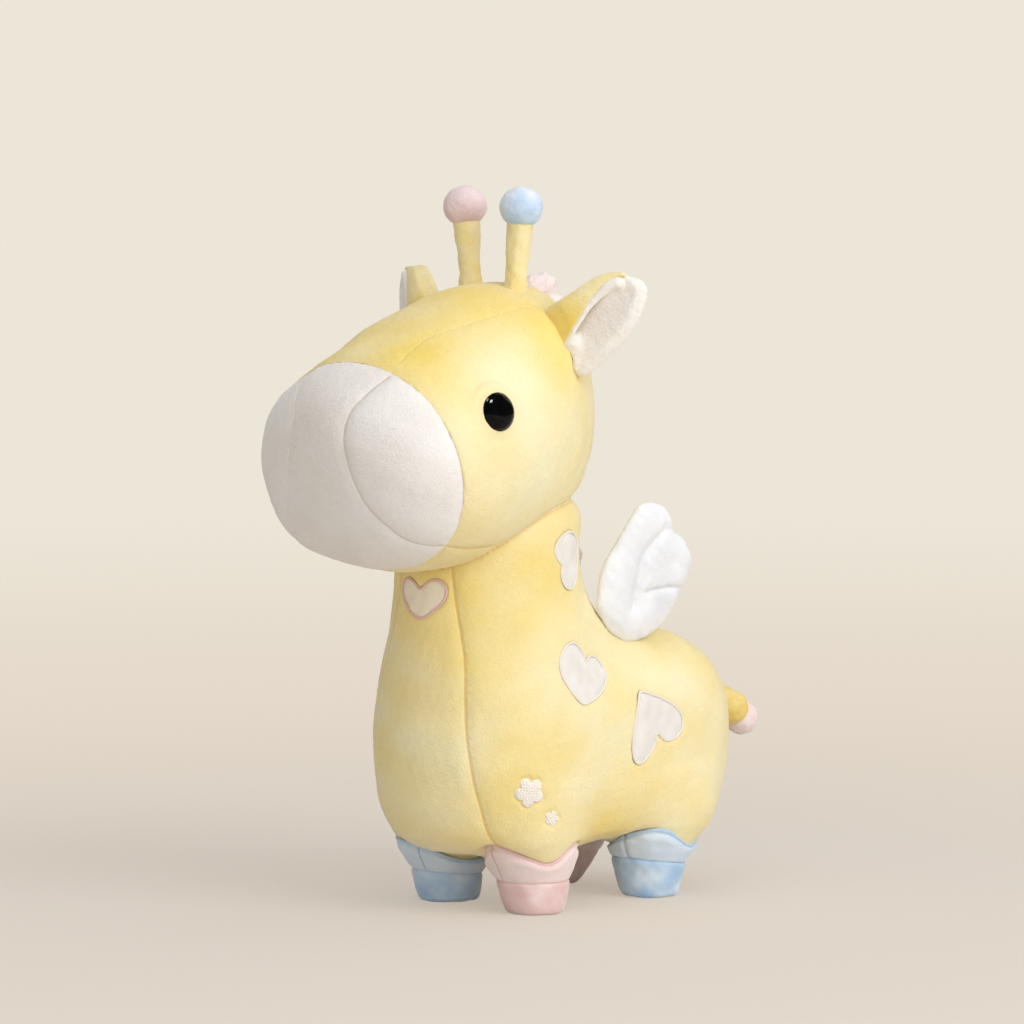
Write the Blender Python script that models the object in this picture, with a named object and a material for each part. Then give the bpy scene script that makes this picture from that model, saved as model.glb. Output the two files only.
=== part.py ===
"""A winged plush giraffe, built from the pieces that it is sewn from.

Metres, +Z up. The toy faces -Y, its left side is +X, and the origin is on the
floor midway between its four hooves. Covers are open shells of plush cloth
that meet at their seams, and the stuffing fills them. Ears, horns, wings and
tail bend at their sewn roots, so each root is a rounded roll or ball that sits
in a matching hollow.
"""
import math

import bmesh
import bpy
from mathutils import Matrix, Vector

# Cloth and clearances
PLUSH_WALL = 0.0032
SEAM_GAP = 0.0003
FLEX_GAP = 0.0006
OVERRUN = 0.010
PATCH_THICKNESS = 0.0012

# Hooves and legs
LEG_SPREAD = 0.026
LEG_REACH = 0.035
SOLE_RADIUS = 0.0100
SOLE_THICKNESS = 0.0012
HOOF_FLOOR_RADIUS = 0.0119
HOOF_BULGE_RADIUS = 0.0138
HOOF_TOP_RADIUS = 0.0154
HOOF_BULGE_HEIGHT = 0.0040
HOOF_HEIGHT = 0.0132
CUFF_TOP_RADIUS = 0.0192
CUFF_RIM_RADIUS = 0.0203
CUFF_WALL = 0.0019
CUFF_HEIGHT = 0.0125
CUFF_WAVE = 0.0042
LEG_RADIUS = 0.0187
LEG_SWELL_RADIUS = 0.0190
LEG_TOP_HEIGHT = 0.058

# Neck and chest
BELLY_HEIGHT = 0.024
CHEST_HALF_WIDTH = 0.0485
CHEST_HALF_DEPTH = 0.0500
CHEST_RISE = 0.048
NECK_HALF_WIDTH = 0.0400
NECK_HALF_DEPTH = 0.0410
NECK_RISE = 0.068
NECK_TUCK = 0.032
CHEST_FULLNESS = (2.6, 4.5)
NECK_TOP_FULLNESS = (2.5, 2.5)

# Hindquarters
HIND_HALF_WIDTH = 0.0485
HIND_HALF_HEIGHT = 0.046
HIND_REAR_LENGTH = 0.065
HIND_FRONT_LENGTH = 0.072
HIND_CENTRE_BEHIND_MIDDLE = 0.025
HIND_FULLNESS = (2.5, 2.5)
HIND_FOOT_FULLNESS = (2.6, 5.5)
HIND_REAR_SQUARENESS = 2.3
HIND_FRONT_SQUARENESS = 2.8

# Head and muzzle
HEAD_HALF_LENGTH = 0.0735
HEAD_HALF_WIDTH = 0.0564
HEAD_HALF_HEIGHT = 0.0532
HEAD_AHEAD_OF_NECK = 0.0253
HEAD_OVER_NECK_TOP = 0.0301
HEAD_TILT = math.radians(14.6)
HEAD_FRONT_FULLNESS = (3.14, 2.65)
HEAD_REAR_FULLNESS = (2.74, 2.13)
HEAD_SQUARENESS = 2.06
HEAD_WIDTH_TAPER_SHARE = 0.216
HEAD_HEIGHT_TAPER_SHARE = -0.108
HEAD_DROOP = 0.0043
HEAD_LEAN = 0.0032
MUZZLE_SEAM_SHARE = 0.64

# Safety eyes
EYE_RADIUS = 0.0080
EYE_DOME_HEIGHT = 0.0052
EYE_RIM = 0.0014
EYE_SINK = 0.0012
EYE_SHANK_RADIUS = 0.0020
EYE_SHANK_LENGTH = 0.0105
WASHER_RADIUS = 0.0068
WASHER_THICKNESS = 0.0016
WASHER_SEAT = 0.0004
EYE_SHARE = 0.308
EYE_TURN = math.radians(19.5)

# Horns
HORN_ROOT_RADIUS = 0.0054
HORN_RADIUS = 0.0047
HORN_LENGTH = 0.0335
HORN_SPLAY = math.radians(6)
HORN_BALL_RADIUS = 0.0092
HORN_SHARE = -0.528
HORN_TURN = math.radians(73.5)

# Ears, measured along from the root, across the leaf, and out from its face
EAR_LENGTH = 0.0447
EAR_LOW_WIDTH = 0.0180
EAR_TOP_WIDTH = 0.0135
EAR_FLAP_WIDTH = 0.0135
EAR_CURL_RADIUS = 0.0036
EAR_THICKNESS = 0.0026
EAR_CUP = 0.0030
EAR_ROLL_RADIUS = 0.0024
EAR_ROLL_HALF_LENGTH = 0.0085
EAR_FLARE = 0.0034
LINING_THICKNESS = 0.0010
EAR_SHARE = -0.503
EAR_TURN = math.radians(33)
EAR_DIRECTION = Vector((0.758, 0.379, 0.531))
EAR_ACROSS = Vector((-0.543, -0.083, 0.835))

# Wings, measured along the back, up from the root, and through the pad
WING_LENGTH = 0.0550
WING_HEIGHT = 0.0615
WING_HALF_THICKNESS = 0.0038
WING_EDGE_HALF_THICKNESS = 0.0016
WING_ROLL_RADIUS = 0.0024
WING_ROLL_HALF_LENGTH = 0.0075
WING_BEHIND_HIND_CENTRE = -0.005
WING_OUT = 0.030
WING_LEAN = math.radians(10)

# Tail
TAIL_ROOT_RADIUS = 0.0068
TAIL_RADIUS = 0.0058
TAIL_LENGTH = 0.0338
TAIL_DROOP = math.radians(20)
TAIL_TUFT_RADIUS = 0.0100
TAIL_TUFT_DROP = 0.0055
TAIL_HEIGHT_SHARE = 0.27

# Mane crest
MANE_HEIGHT = 0.0128
MANE_NOTCH_HEIGHT = 0.0078
MANE_HALF_WIDTH = 0.0052
MANE_NOTCH_HALF_WIDTH = 0.0040
MANE_LOBE_LENGTH = 0.0145
MANE_ROOT_DEPTH = 0.0030
HEAD_MANE_START_SHARE = -0.76
HEAD_MANE_END_SHARE = -0.83
NECK_MANE_TOP_SHARE = 0.895
NECK_MANE_END_SHARE = 0.64

# Sewn hearts and flowers: half width, half height
THROAT_HEART = (0.0135, 0.0095)
NECK_HEART = (0.0125, 0.0105)
SHOULDER_HEART = (0.0135, 0.0140)
FLANK_HEART = (0.0145, 0.0150)
LARGE_FLOWER_RADIUS = 0.0067
SMALL_FLOWER_RADIUS = 0.0035

# Facets
BODY_SIDES = 22
LIMB_SIDES = 16
SMALL_SIDES = 12
HEAD_RINGS = 14
COLUMN_FOOT_RINGS = 5
COLUMN_NECK_RINGS = 4
COLUMN_TOP_RINGS = 3
HIND_RINGS = 10

# Places worked out from the sizes above
NECK_CENTRE_Y = -LEG_REACH
CHEST_WIDEST_HEIGHT = BELLY_HEIGHT + CHEST_RISE
NECK_START_HEIGHT = CHEST_WIDEST_HEIGHT + NECK_RISE
NECK_TOP_HEIGHT = NECK_START_HEIGHT + NECK_TUCK
COLUMN_HEIGHT = NECK_TOP_HEIGHT - BELLY_HEIGHT
HIND_CENTRE = Vector((0, HIND_CENTRE_BEHIND_MIDDLE, BELLY_HEIGHT + HIND_HALF_HEIGHT))
HEAD_CENTRE = Vector((0, NECK_CENTRE_Y - HEAD_AHEAD_OF_NECK, NECK_TOP_HEIGHT + HEAD_OVER_NECK_TOP))
HEAD_FORWARD = Vector((0, -math.cos(HEAD_TILT), -math.sin(HEAD_TILT)))
HEAD_UP = Vector((0, -math.sin(HEAD_TILT), math.cos(HEAD_TILT)))
SIDES = (("left", 1), ("right", -1))


# Starting from an empty scene
for old in list(bpy.data.objects):
    bpy.data.objects.remove(old, do_unlink=True)


# Materials
def cloth(name, colour, roughness=0.9):
    """A plain material of one colour."""
    material = bpy.data.materials.new(name)
    material.use_nodes = True
    surface = material.node_tree.nodes["Principled BSDF"]
    surface.inputs["Base Color"].default_value = (*colour, 1)
    surface.inputs["Roughness"].default_value = roughness
    surface.inputs["Metallic"].default_value = 0
    return material


YELLOW = (0.90, 0.76, 0.36)
CREAM = (0.88, 0.84, 0.80)
PINK = (0.83, 0.58, 0.56)
PALE_PINK = (0.90, 0.76, 0.74)
BLUE = (0.50, 0.66, 0.84)
WHITE = (0.90, 0.90, 0.89)
FIBRE = (0.86, 0.86, 0.84)
BLACK = (0.01, 0.01, 0.01)


# Building closed bodies out of rings of points
class Body:
    """The points and faces of one closed body."""

    def __init__(self):
        self.points = []
        self.faces = []

    def point(self, place):
        self.points.append(tuple(place))
        return len(self.points) - 1

    def ring(self, places):
        return [self.point(place) for place in places]

    def bridge(self, first, second):
        count = len(first)
        for i in range(count):
            j = (i + 1) % count
            self.faces.append((first[i], first[j], second[j], second[i]))

    def fan(self, ring, tip):
        count = len(ring)
        for i in range(count):
            self.faces.append((ring[i], ring[(i + 1) % count], tip))

    def stack(self, rings):
        """Bridges a run of rings; a ring of one place is a tip."""
        made = [self.ring(places) for places in rings]
        for first, second in zip(made, made[1:]):
            if len(first) == 1:
                self.fan(second, first[0])
            elif len(second) == 1:
                self.fan(first, second[0])
            else:
                self.bridge(first, second)
        return made

    def mesh(self, name):
        frame = bmesh.new()
        corners = [frame.verts.new(place) for place in self.points]
        for face in self.faces:
            frame.faces.new([corners[i] for i in face])
        bmesh.ops.triangulate(frame, faces=frame.faces)
        bmesh.ops.recalc_face_normals(frame, faces=frame.faces)
        mesh = bpy.data.meshes.new(name)
        frame.to_mesh(mesh)
        frame.free()
        return mesh


def node(name, body, colour, roughness=0.9, smooth=True):
    """One named piece with its own material."""
    mesh = body.mesh(name)
    if smooth:
        mesh.shade_smooth()
        mesh.set_sharp_from_angle(angle=SHARP_ANGLE)
    mesh.materials.append(cloth(name, colour, roughness))
    piece = bpy.data.objects.new(name, mesh)
    bpy.context.collection.objects.link(piece)
    return piece


SHARP_ANGLE = math.radians(40)


def tool(name, body):
    """A hidden body that only cuts others."""
    piece = bpy.data.objects.new(name, body.mesh(name))
    bpy.context.collection.objects.link(piece)
    piece.hide_render = True
    piece.display_type = "WIRE"
    return piece


def trim(piece, other, operation="DIFFERENCE"):
    """Cuts, joins or intersects a piece with another body."""
    step = piece.modifiers.new(operation.title() + " " + other.name, "BOOLEAN")
    step.operation = operation
    step.solver = "EXACT"
    step.object = other
    return piece


def set_origin(piece, place):
    """Moves a piece's origin without moving the piece."""
    piece.data.transform(Matrix.Translation(-place))
    piece.location = place


# Rounded forms
def corner(turn, squareness):
    """A place on a unit oval whose sides flatten as squareness grows."""
    across, up = math.cos(turn), math.sin(turn)
    power = 2 / squareness
    return (math.copysign(abs(across) ** power, across), math.copysign(abs(up) ** power, up))


def swell(share, fullness):
    """The radius share of a rounded end, from 1 at its root to 0 at its tip."""
    inner, outer = fullness
    return max(0.0, 1 - min(1.0, abs(share)) ** inner) ** (1 / outer)


def ease(share):
    """A smooth step from 0 to 1."""
    share = min(1.0, max(0.0, share))
    return share * share * (3 - 2 * share)


def blend(first, second, share):
    return first + (second - first) * share


def interpolate(table, share):
    """The value at a share along a table of (share, value) pairs."""
    for (start, low), (end, high) in zip(table, table[1:]):
        if share <= end:
            return blend(low, high, (share - start) / (end - start))
    return table[-1][1]


def smooth_closed(points, steps):
    """A closed curve through hand-placed points, with steps points to each span."""
    count = len(points)
    curve = []
    for i in range(count):
        before, start, end, after = (Vector(points[(i + k) % count]) for k in (-1, 0, 1, 2))
        for k in range(steps):
            t = k / steps
            curve.append(0.5 * (2 * start + (end - before) * t
                                + (2 * before - 5 * start + 4 * end - after) * t ** 2
                                + (3 * start - before - 3 * end + after) * t ** 3))
    return curve


def head_point(share, turn, grow=0.0):
    """A place on the head: share runs from -1 at the back to 1 at the nose."""
    fullness = HEAD_FRONT_FULLNESS if share > 0 else HEAD_REAR_FULLNESS
    scale = swell(share, fullness)
    wide = (HEAD_HALF_WIDTH * (1 + HEAD_WIDTH_TAPER_SHARE * share) + grow) * scale
    tall = (HEAD_HALF_HEIGHT * (1 + HEAD_HEIGHT_TAPER_SHARE * share) + grow) * scale
    across, up = corner(turn, HEAD_SQUARENESS)
    along = (HEAD_HALF_LENGTH + grow) * share - HEAD_LEAN * up * scale
    lift = tall * up - HEAD_DROOP * share * (1 - share * share)
    return HEAD_CENTRE + HEAD_FORWARD * along + HEAD_UP * lift + Vector((wide * across, 0, 0))


def column_point(share, turn, grow=0.0):
    """A place on the neck and chest: share is the height share from belly to neck top."""
    height = blend(BELLY_HEIGHT - grow, NECK_TOP_HEIGHT + grow, share)
    wide, deep = CHEST_HALF_WIDTH, CHEST_HALF_DEPTH
    scale = 1.0
    if height < CHEST_WIDEST_HEIGHT:
        scale = swell((CHEST_WIDEST_HEIGHT - height) / (CHEST_RISE + grow), CHEST_FULLNESS)
    else:
        slim = ease((height - CHEST_WIDEST_HEIGHT) / NECK_RISE)
        wide = blend(wide, NECK_HALF_WIDTH, slim)
        deep = blend(deep, NECK_HALF_DEPTH, slim)
        if height > NECK_START_HEIGHT:
            scale = swell((height - NECK_START_HEIGHT) / (NECK_TUCK + grow), NECK_TOP_FULLNESS)
    x = (wide + grow) * scale * math.cos(turn)
    y = (deep + grow) * scale * math.sin(turn)
    return Vector((x, NECK_CENTRE_Y + y, height))


def hind_point(share, turn, grow=0.0):
    """A place on the hindquarters: share runs from -1 at the belly to 1 on the back."""
    scale = swell(share, HIND_FULLNESS if share > 0 else HIND_FOOT_FULLNESS)
    rear = math.sin(turn) > 0
    across, along = corner(turn, HIND_REAR_SQUARENESS if rear else HIND_FRONT_SQUARENESS)
    length = HIND_REAR_LENGTH if rear else HIND_FRONT_LENGTH
    offset = Vector(((HIND_HALF_WIDTH + grow) * across * scale, (length + grow) * along * scale,
                     (HIND_HALF_HEIGHT + grow) * share))
    return HIND_CENTRE + offset


def arc_shares(count, start=-1.0, end=1.0):
    """Shares from one tip of a rounded form to the other, closer together at the tips."""
    low, high = math.asin(start), math.asin(end)
    return [math.sin(blend(low, high, i / count)) for i in range(count + 1)]


def column_shares():
    """Height shares of the neck and chest's rings, closer together at its two ends."""
    widest = CHEST_RISE / COLUMN_HEIGHT
    neck = (CHEST_RISE + NECK_RISE) / COLUMN_HEIGHT
    foot = [widest * (1 - math.cos(math.pi / 2 * i / COLUMN_FOOT_RINGS)) for i in range(COLUMN_FOOT_RINGS)]
    middle = [blend(widest, neck, i / COLUMN_NECK_RINGS) for i in range(COLUMN_NECK_RINGS)]
    top = [blend(neck, 1, math.sin(math.pi / 2 * i / COLUMN_TOP_RINGS)) for i in range(COLUMN_TOP_RINGS + 1)]
    return foot + middle + top


def skin_rings(place, shares, grow, sides=BODY_SIDES):
    """Rings of a rounded form; a ring that has shrunk to nothing is one place."""
    rings = []
    for share in shares:
        ring = [place(share, 2 * math.pi * i / sides, grow) for i in range(sides)]
        shrunk = (ring[0] - ring[sides // 2]).length < SEAM_GAP
        rings.append([sum(ring, Vector()) / sides] if shrunk else ring)
    return rings


def solid_form(place, shares, grow=0.0):
    body = Body()
    body.stack(skin_rings(place, shares, grow))
    return body


def bowl_form(place, shares):
    """An open cover: its skin, its inside, and the cut edge that joins them."""
    body = Body()
    outside = body.stack(skin_rings(place, shares, 0.0))
    inside = body.stack(skin_rings(place, shares, -PLUSH_WALL))
    body.bridge(outside[-1], inside[-1])
    return body


def seat_on(place, share, turn):
    """A place on a rounded form and the direction straight out of it."""
    step = 0.001
    spot = place(share, turn)
    along = place(share + step, turn) - place(share - step, turn)
    around = place(share, turn + step) - place(share, turn - step)
    out = along.cross(around).normalized()
    middle = place(share, turn) - place(share, turn, -PLUSH_WALL)
    return spot, out if out.dot(middle) > 0 else -out


def turned(profile, spot, axis, sides=SMALL_SIDES, closed=False):
    """A turned body: profile pairs are (radius, height along the axis)."""
    side = axis.orthogonal().normalized()
    other = axis.cross(side)
    rings = []
    for radius, height in profile:
        centre = spot + axis * height
        if radius == 0:
            rings.append([centre])
            continue
        turns = [2 * math.pi * i / sides for i in range(sides)]
        rings.append([centre + (side * math.cos(t) + other * math.sin(t)) * radius for t in turns])
    body = Body()
    made = body.stack(rings)
    if closed:
        body.bridge(made[-1], made[0])
    return body


def ball(spot, radius, sides=SMALL_SIDES):
    half = sides // 2
    profile = [(radius * math.sin(math.pi * i / half), -radius * math.cos(math.pi * i / half))
               for i in range(1, half)]
    return turned([(0, -radius)] + profile + [(0, radius)], spot, Vector((0, 0, 1)), sides)


def round_root(root_radius, radius, steps=3):
    """The profile of a ball that narrows into a stalk."""
    end = math.acos(radius / root_radius)
    turns = [blend(-math.pi / 2, end, i / (2 * steps)) for i in range(1, 2 * steps + 1)]
    return [(0, -root_radius)] + [(root_radius * math.cos(t), root_radius * math.sin(t)) for t in turns]


def capsule(spot, axis, radius, half_length, sides=SMALL_SIDES):
    """A round-ended roll, centred on a spot."""
    steps = sides // 4
    turns = [math.pi / 2 * i / steps for i in range(1, steps + 1)]
    start = [(radius * math.sin(t), -half_length - radius * math.cos(t)) for t in turns]
    end = [(radius, -height) for radius, height in reversed(start)]
    profile = [(0, -half_length - radius)] + start + end + [(0, half_length + radius)]
    return turned(profile, spot, axis, sides)


def mirrored(vector, side):
    return Vector((vector.x * side, vector.y, vector.z))


# Bodies that cut their neighbours
HEAD_SHARES = arc_shares(HEAD_RINGS)
COLUMN_SHARES = column_shares()
HIND_SHARES = arc_shares(HIND_RINGS)
head_clearance = tool("head_clearance", solid_form(head_point, HEAD_SHARES, SEAM_GAP))
head_inside = tool("head_inside", solid_form(head_point, HEAD_SHARES, -PLUSH_WALL))
column_clearance = tool("column_clearance", solid_form(column_point, COLUMN_SHARES, SEAM_GAP))
column_inside = tool("column_inside", solid_form(column_point, COLUMN_SHARES, -PLUSH_WALL))
hind_clearance = tool("hind_clearance", solid_form(hind_point, HIND_SHARES, SEAM_GAP))
hind_inside = tool("hind_inside", solid_form(hind_point, HIND_SHARES, -PLUSH_WALL))


# Body covers and stuffing
chest_cover = node("chest_cover", solid_form(column_point, COLUMN_SHARES), YELLOW)
for cutter in (column_inside, head_clearance, hind_clearance):
    trim(chest_cover, cutter)
hindquarters_cover = node("hindquarters_cover", solid_form(hind_point, HIND_SHARES), YELLOW)
for cutter in (hind_inside, column_inside):
    trim(hindquarters_cover, cutter)
STUFFING_GROW = -PLUSH_WALL - SEAM_GAP
body_stuffing = node("body_stuffing", solid_form(column_point, COLUMN_SHARES, STUFFING_GROW), FIBRE)
hind_core = tool("hind_core", solid_form(hind_point, HIND_SHARES, STUFFING_GROW))
trim(body_stuffing, hind_core, "UNION")
trim(body_stuffing, head_inside)


# Head covers and stuffing
SEAM_HALF_SHARE = SEAM_GAP / 2 / HEAD_HALF_LENGTH
rear_steps = HEAD_RINGS * 3 // 4
rear_shares = arc_shares(rear_steps, -1.0, MUZZLE_SEAM_SHARE - SEAM_HALF_SHARE)
head_cover = node("head_cover", bowl_form(head_point, rear_shares), YELLOW)
front_shares = arc_shares(HEAD_RINGS - rear_steps, MUZZLE_SEAM_SHARE + SEAM_HALF_SHARE, 1.0)
muzzle_cover = node("muzzle_cover", bowl_form(head_point, front_shares[::-1]), CREAM)
head_stuffing = node("head_stuffing", solid_form(head_point, HEAD_SHARES, STUFFING_GROW), FIBRE)
trim(head_cover, column_inside)


# Legs, cuffs, hooves and soles
def cuff_radius(height):
    """The cuff's outer radius, widening from its seam to its rim."""
    share = (height - HOOF_HEIGHT) / CUFF_HEIGHT
    return blend(HOOF_TOP_RADIUS, CUFF_TOP_RADIUS, share)


def leg_body(spot):
    """The yellow limb: slim inside the cuff, full above it, domed inside the trunk."""
    cuff_foot = HOOF_HEIGHT + SEAM_GAP
    cuff_top = HOOF_HEIGHT + CUFF_HEIGHT
    inner = CUFF_WALL + SEAM_GAP
    swell_height = blend(cuff_top, LEG_TOP_HEIGHT, 0.45)
    profile = [(0, cuff_foot), (cuff_radius(cuff_foot) - inner, cuff_foot),
               (cuff_radius(cuff_top) - inner, cuff_top),
               (LEG_RADIUS - SEAM_GAP, cuff_top + CUFF_WAVE + CUFF_WALL)]
    for share in (0.0, 0.4, 0.7, 0.9, 1.0):
        height = blend(swell_height, LEG_TOP_HEIGHT, share)
        profile.append((LEG_SWELL_RADIUS * swell(share, (2, 2)), height))
    return turned(profile, spot, Vector((0, 0, 1)), LIMB_SIDES)


def cuff_body(spot, lobes, phase):
    """A tapered cuff with a rolled, wavy upper edge."""
    body = Body()
    turns = [2 * math.pi * i / LIMB_SIDES for i in range(LIMB_SIDES)]

    def ring(radius_at, height_at):
        places = []
        for turn in turns:
            height = height_at(turn)
            radius = radius_at(height)
            places.append(spot + Vector((radius * math.cos(turn), radius * math.sin(turn), height)))
        return body.ring(places)

    def edge(turn):
        return HOOF_HEIGHT + CUFF_HEIGHT + CUFF_WAVE * math.cos(lobes * (turn - phase))

    foot = HOOF_HEIGHT + SEAM_GAP
    roll = CUFF_RIM_RADIUS - CUFF_TOP_RADIUS
    rings = [ring(cuff_radius, lambda turn: foot),
             ring(cuff_radius, lambda turn: blend(foot, edge(turn) - CUFF_WALL, 0.5)),
             ring(cuff_radius, lambda turn: edge(turn) - CUFF_WALL),
             ring(lambda h: cuff_radius(h) + roll, lambda turn: edge(turn) - roll),
             ring(lambda h: cuff_radius(h) - CUFF_WALL / 2, edge),
             ring(lambda h: cuff_radius(h) - CUFF_WALL, lambda turn: edge(turn) - roll),
             ring(lambda h: cuff_radius(h) - CUFF_WALL, lambda turn: foot)]
    for first, second in zip(rings, rings[1:] + rings[:1]):
        body.bridge(first, second)
    return body


def hoof_body(spot):
    """The lower hoof, with a shallow pocket for its sole."""
    pocket = SOLE_THICKNESS + SEAM_GAP
    profile = [(0, pocket), (SOLE_RADIUS + SEAM_GAP, pocket), (SOLE_RADIUS + SEAM_GAP, 0),
               (HOOF_FLOOR_RADIUS, 0), (HOOF_BULGE_RADIUS, HOOF_BULGE_HEIGHT),
               (HOOF_TOP_RADIUS, HOOF_HEIGHT), (0, HOOF_HEIGHT)]
    return turned(profile, spot, Vector((0, 0, 1)), LIMB_SIDES)


# Each hoof: end of the body, side, colour, wave lobes and the direction of a crest
HOOVES = (
    ("front", "left", PINK, 3, math.radians(-85)),
    ("front", "right", BLUE, 2, math.radians(-140)),
    ("hind", "left", BLUE, 3, math.radians(-55)),
    ("hind", "right", PINK, 3, math.radians(-125)),
)
for end, side_name, colour, lobes, phase in HOOVES:
    side = dict(SIDES)[side_name]
    spot = Vector((side * LEG_SPREAD, -LEG_REACH if end == "front" else LEG_REACH, 0))
    place_name = end + "_" + side_name
    leg = node("leg_" + place_name, leg_body(spot), YELLOW)
    trim(leg, column_clearance)
    trim(leg, hind_clearance)
    cuff = node("cuff_" + place_name, cuff_body(spot, lobes, phase), colour)
    trim(cuff, column_clearance)
    trim(cuff, hind_clearance)
    node("hoof_" + place_name, hoof_body(spot), colour)
    sole = turned([(0, 0), (SOLE_RADIUS, 0), (SOLE_RADIUS, SOLE_THICKNESS), (0, SOLE_THICKNESS)],
                  spot, Vector((0, 0, 1)), LIMB_SIDES)
    node("sole_" + place_name, sole, colour)


# Safety eyes and their washers
DOME_STEPS = 4
for side_name, side in SIDES:
    turn = EYE_TURN if side > 0 else math.pi - EYE_TURN
    surface, out = seat_on(head_point, EYE_SHARE, turn)
    back = surface - out * EYE_SINK
    dome = [(EYE_RADIUS * math.cos(math.pi / 2 * i / DOME_STEPS),
             EYE_RIM + EYE_DOME_HEIGHT * math.sin(math.pi / 2 * i / DOME_STEPS)) for i in range(DOME_STEPS)]
    profile = [(0, EYE_RIM + EYE_DOME_HEIGHT)] + dome[::-1] + [(EYE_RADIUS, 0), (EYE_SHANK_RADIUS, 0),
               (EYE_SHANK_RADIUS, -EYE_SHANK_LENGTH), (0, -EYE_SHANK_LENGTH)]
    node("eye_" + side_name, turned(profile, back, out, LIMB_SIDES), BLACK, 0.1)
    washer_top = EYE_SINK - PLUSH_WALL - WASHER_SEAT
    washer_foot = washer_top - WASHER_THICKNESS
    hole = EYE_SHANK_RADIUS + SEAM_GAP
    ring = [(hole, washer_top), (WASHER_RADIUS, washer_top), (WASHER_RADIUS, washer_foot), (hole, washer_foot)]
    node("eye_washer_" + side_name, turned(ring, back, out, closed=True), WHITE, 0.5, smooth=False)
    room = [(0, OVERRUN), (EYE_RADIUS + SEAM_GAP, OVERRUN), (EYE_RADIUS + SEAM_GAP, -SEAM_GAP),
            (hole, -SEAM_GAP), (hole, washer_top + SEAM_GAP), (WASHER_RADIUS + SEAM_GAP, washer_top + SEAM_GAP),
            (WASHER_RADIUS + SEAM_GAP, washer_foot - SEAM_GAP), (hole, washer_foot - SEAM_GAP),
            (hole, -EYE_SHANK_LENGTH - SEAM_GAP), (0, -EYE_SHANK_LENGTH - SEAM_GAP)]
    room_tool = tool("eye_room_" + side_name, turned(room, back, out, LIMB_SIDES))
    trim(head_cover, room_tool)
    trim(head_stuffing, room_tool)


# Horns: a stalk with a round root in the head, and a fuzzy ball
for side_name, side in SIDES:
    turn = HORN_TURN if side > 0 else math.pi - HORN_TURN
    root, out = seat_on(head_point, HORN_SHARE, turn)
    axis = Vector((side * math.sin(HORN_SPLAY), 0, math.cos(HORN_SPLAY)))
    profile = round_root(HORN_ROOT_RADIUS, HORN_RADIUS) + [(HORN_RADIUS, HORN_LENGTH), (0, HORN_LENGTH)]
    horn = node("horn_" + side_name, turned(profile, root, axis), YELLOW)
    tip = root + axis * HORN_LENGTH
    trim(horn, tool("horn_ball_clearance_" + side_name, ball(tip, HORN_BALL_RADIUS + SEAM_GAP)))
    set_origin(horn, root)
    pompom = node("horn_ball_" + side_name, ball(tip, HORN_BALL_RADIUS), BLUE if side > 0 else PINK)
    set_origin(pompom, root)
    socket = tool("horn_socket_" + side_name, ball(root, HORN_ROOT_RADIUS + FLEX_GAP))
    trim(head_cover, socket)
    trim(head_stuffing, socket)


# Ears: a padded leaf whose upper edge folds forward over its lining
EAR_STATIONS = (0.0, 0.15, 0.32, 0.5, 0.68, 0.84, 0.94, 0.985)
LOW_EDGE_SHARES = ((0.0, 0.95), (0.1, 1.0), (0.3, 0.95), (0.5, 0.85), (0.68, 0.66), (0.84, 0.44), (0.93, 0.2), (1.0, 0.0))
TOP_EDGE_SHARES = ((0.0, 1.0), (0.2, 1.0), (0.42, 0.99), (0.63, 0.86), (0.8, 0.64), (0.92, 0.34), (1.0, -0.05))
FLAP_SHARES = ((0.0, 1.0), (0.2, 0.78), (0.42, 0.5), (0.63, 0.2), (0.8, 0.06), (1.0, 0.02))
CURL_TURNS = ((0.0, math.pi), (0.42, math.pi * 0.94), (0.63, math.pi * 0.75), (0.8, math.pi * 0.4), (1.0, 0.0))
LINING_STATION_END = 5
LEAF_POINTS = 5
CURL_POINTS = 3
FLAP_POINTS = 2


def ear_line(share):
    """The leaf's middle line at a share of its length, as (across, out of the face) places."""
    low = -EAR_LOW_WIDTH * interpolate(LOW_EDGE_SHARES, share)
    curl = interpolate(CURL_TURNS, share)
    radius = EAR_CURL_RADIUS * max(0.25, 1 - share)
    top = EAR_TOP_WIDTH * interpolate(TOP_EDGE_SHARES, share) - radius * math.sin(min(curl, math.pi / 2))
    line = []
    for i in range(LEAF_POINTS):
        part = i / LEAF_POINTS
        cup = EAR_CUP * (1 - part) ** 2 * (1 - share)
        line.append((blend(low, top, part), cup))
    for i in range(CURL_POINTS + 1):
        turn = curl * i / CURL_POINTS
        line.append((top + radius * math.sin(turn), radius * (1 - math.cos(turn))))
    across, out = line[-1]
    flap = EAR_FLAP_WIDTH * interpolate(FLAP_SHARES, share)
    for i in range(1, FLAP_POINTS + 1):
        part = i / FLAP_POINTS
        line.append((across + flap * part * math.cos(curl), out + flap * part * math.sin(curl)))
    return line


def thick_loop(line, half, offset=0.0, half_end=None):
    """A closed outline at a half thickness to both sides of a line, with rounded ends."""
    count = len(line)
    tip = half if half_end is None else half_end
    upper, lower = [], []
    directions = []
    for i in range(count):
        start, end = line[max(0, i - 1)], line[min(count - 1, i + 1)]
        along = Vector((end[0] - start[0], end[1] - start[1])).normalized()
        directions.append(along)
        side = Vector((-along.y, along.x))
        spot = Vector(line[i]) + side * offset
        slim = blend(tip, half, 1) if 0 < i < count - 1 else tip
        upper.append(spot + side * slim)
        lower.append(spot - side * slim)
    first = (upper[0] + lower[0]) / 2 - directions[0] * tip
    last = (upper[-1] + lower[-1]) / 2 + directions[-1] * tip
    return [first] + upper + [last] + lower[::-1]


def ear_places(loop, root, along_vector, across_vector, out_vector, along):
    return [root + along_vector * along + across_vector * p[0] + out_vector * p[1] for p in loop]


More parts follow.
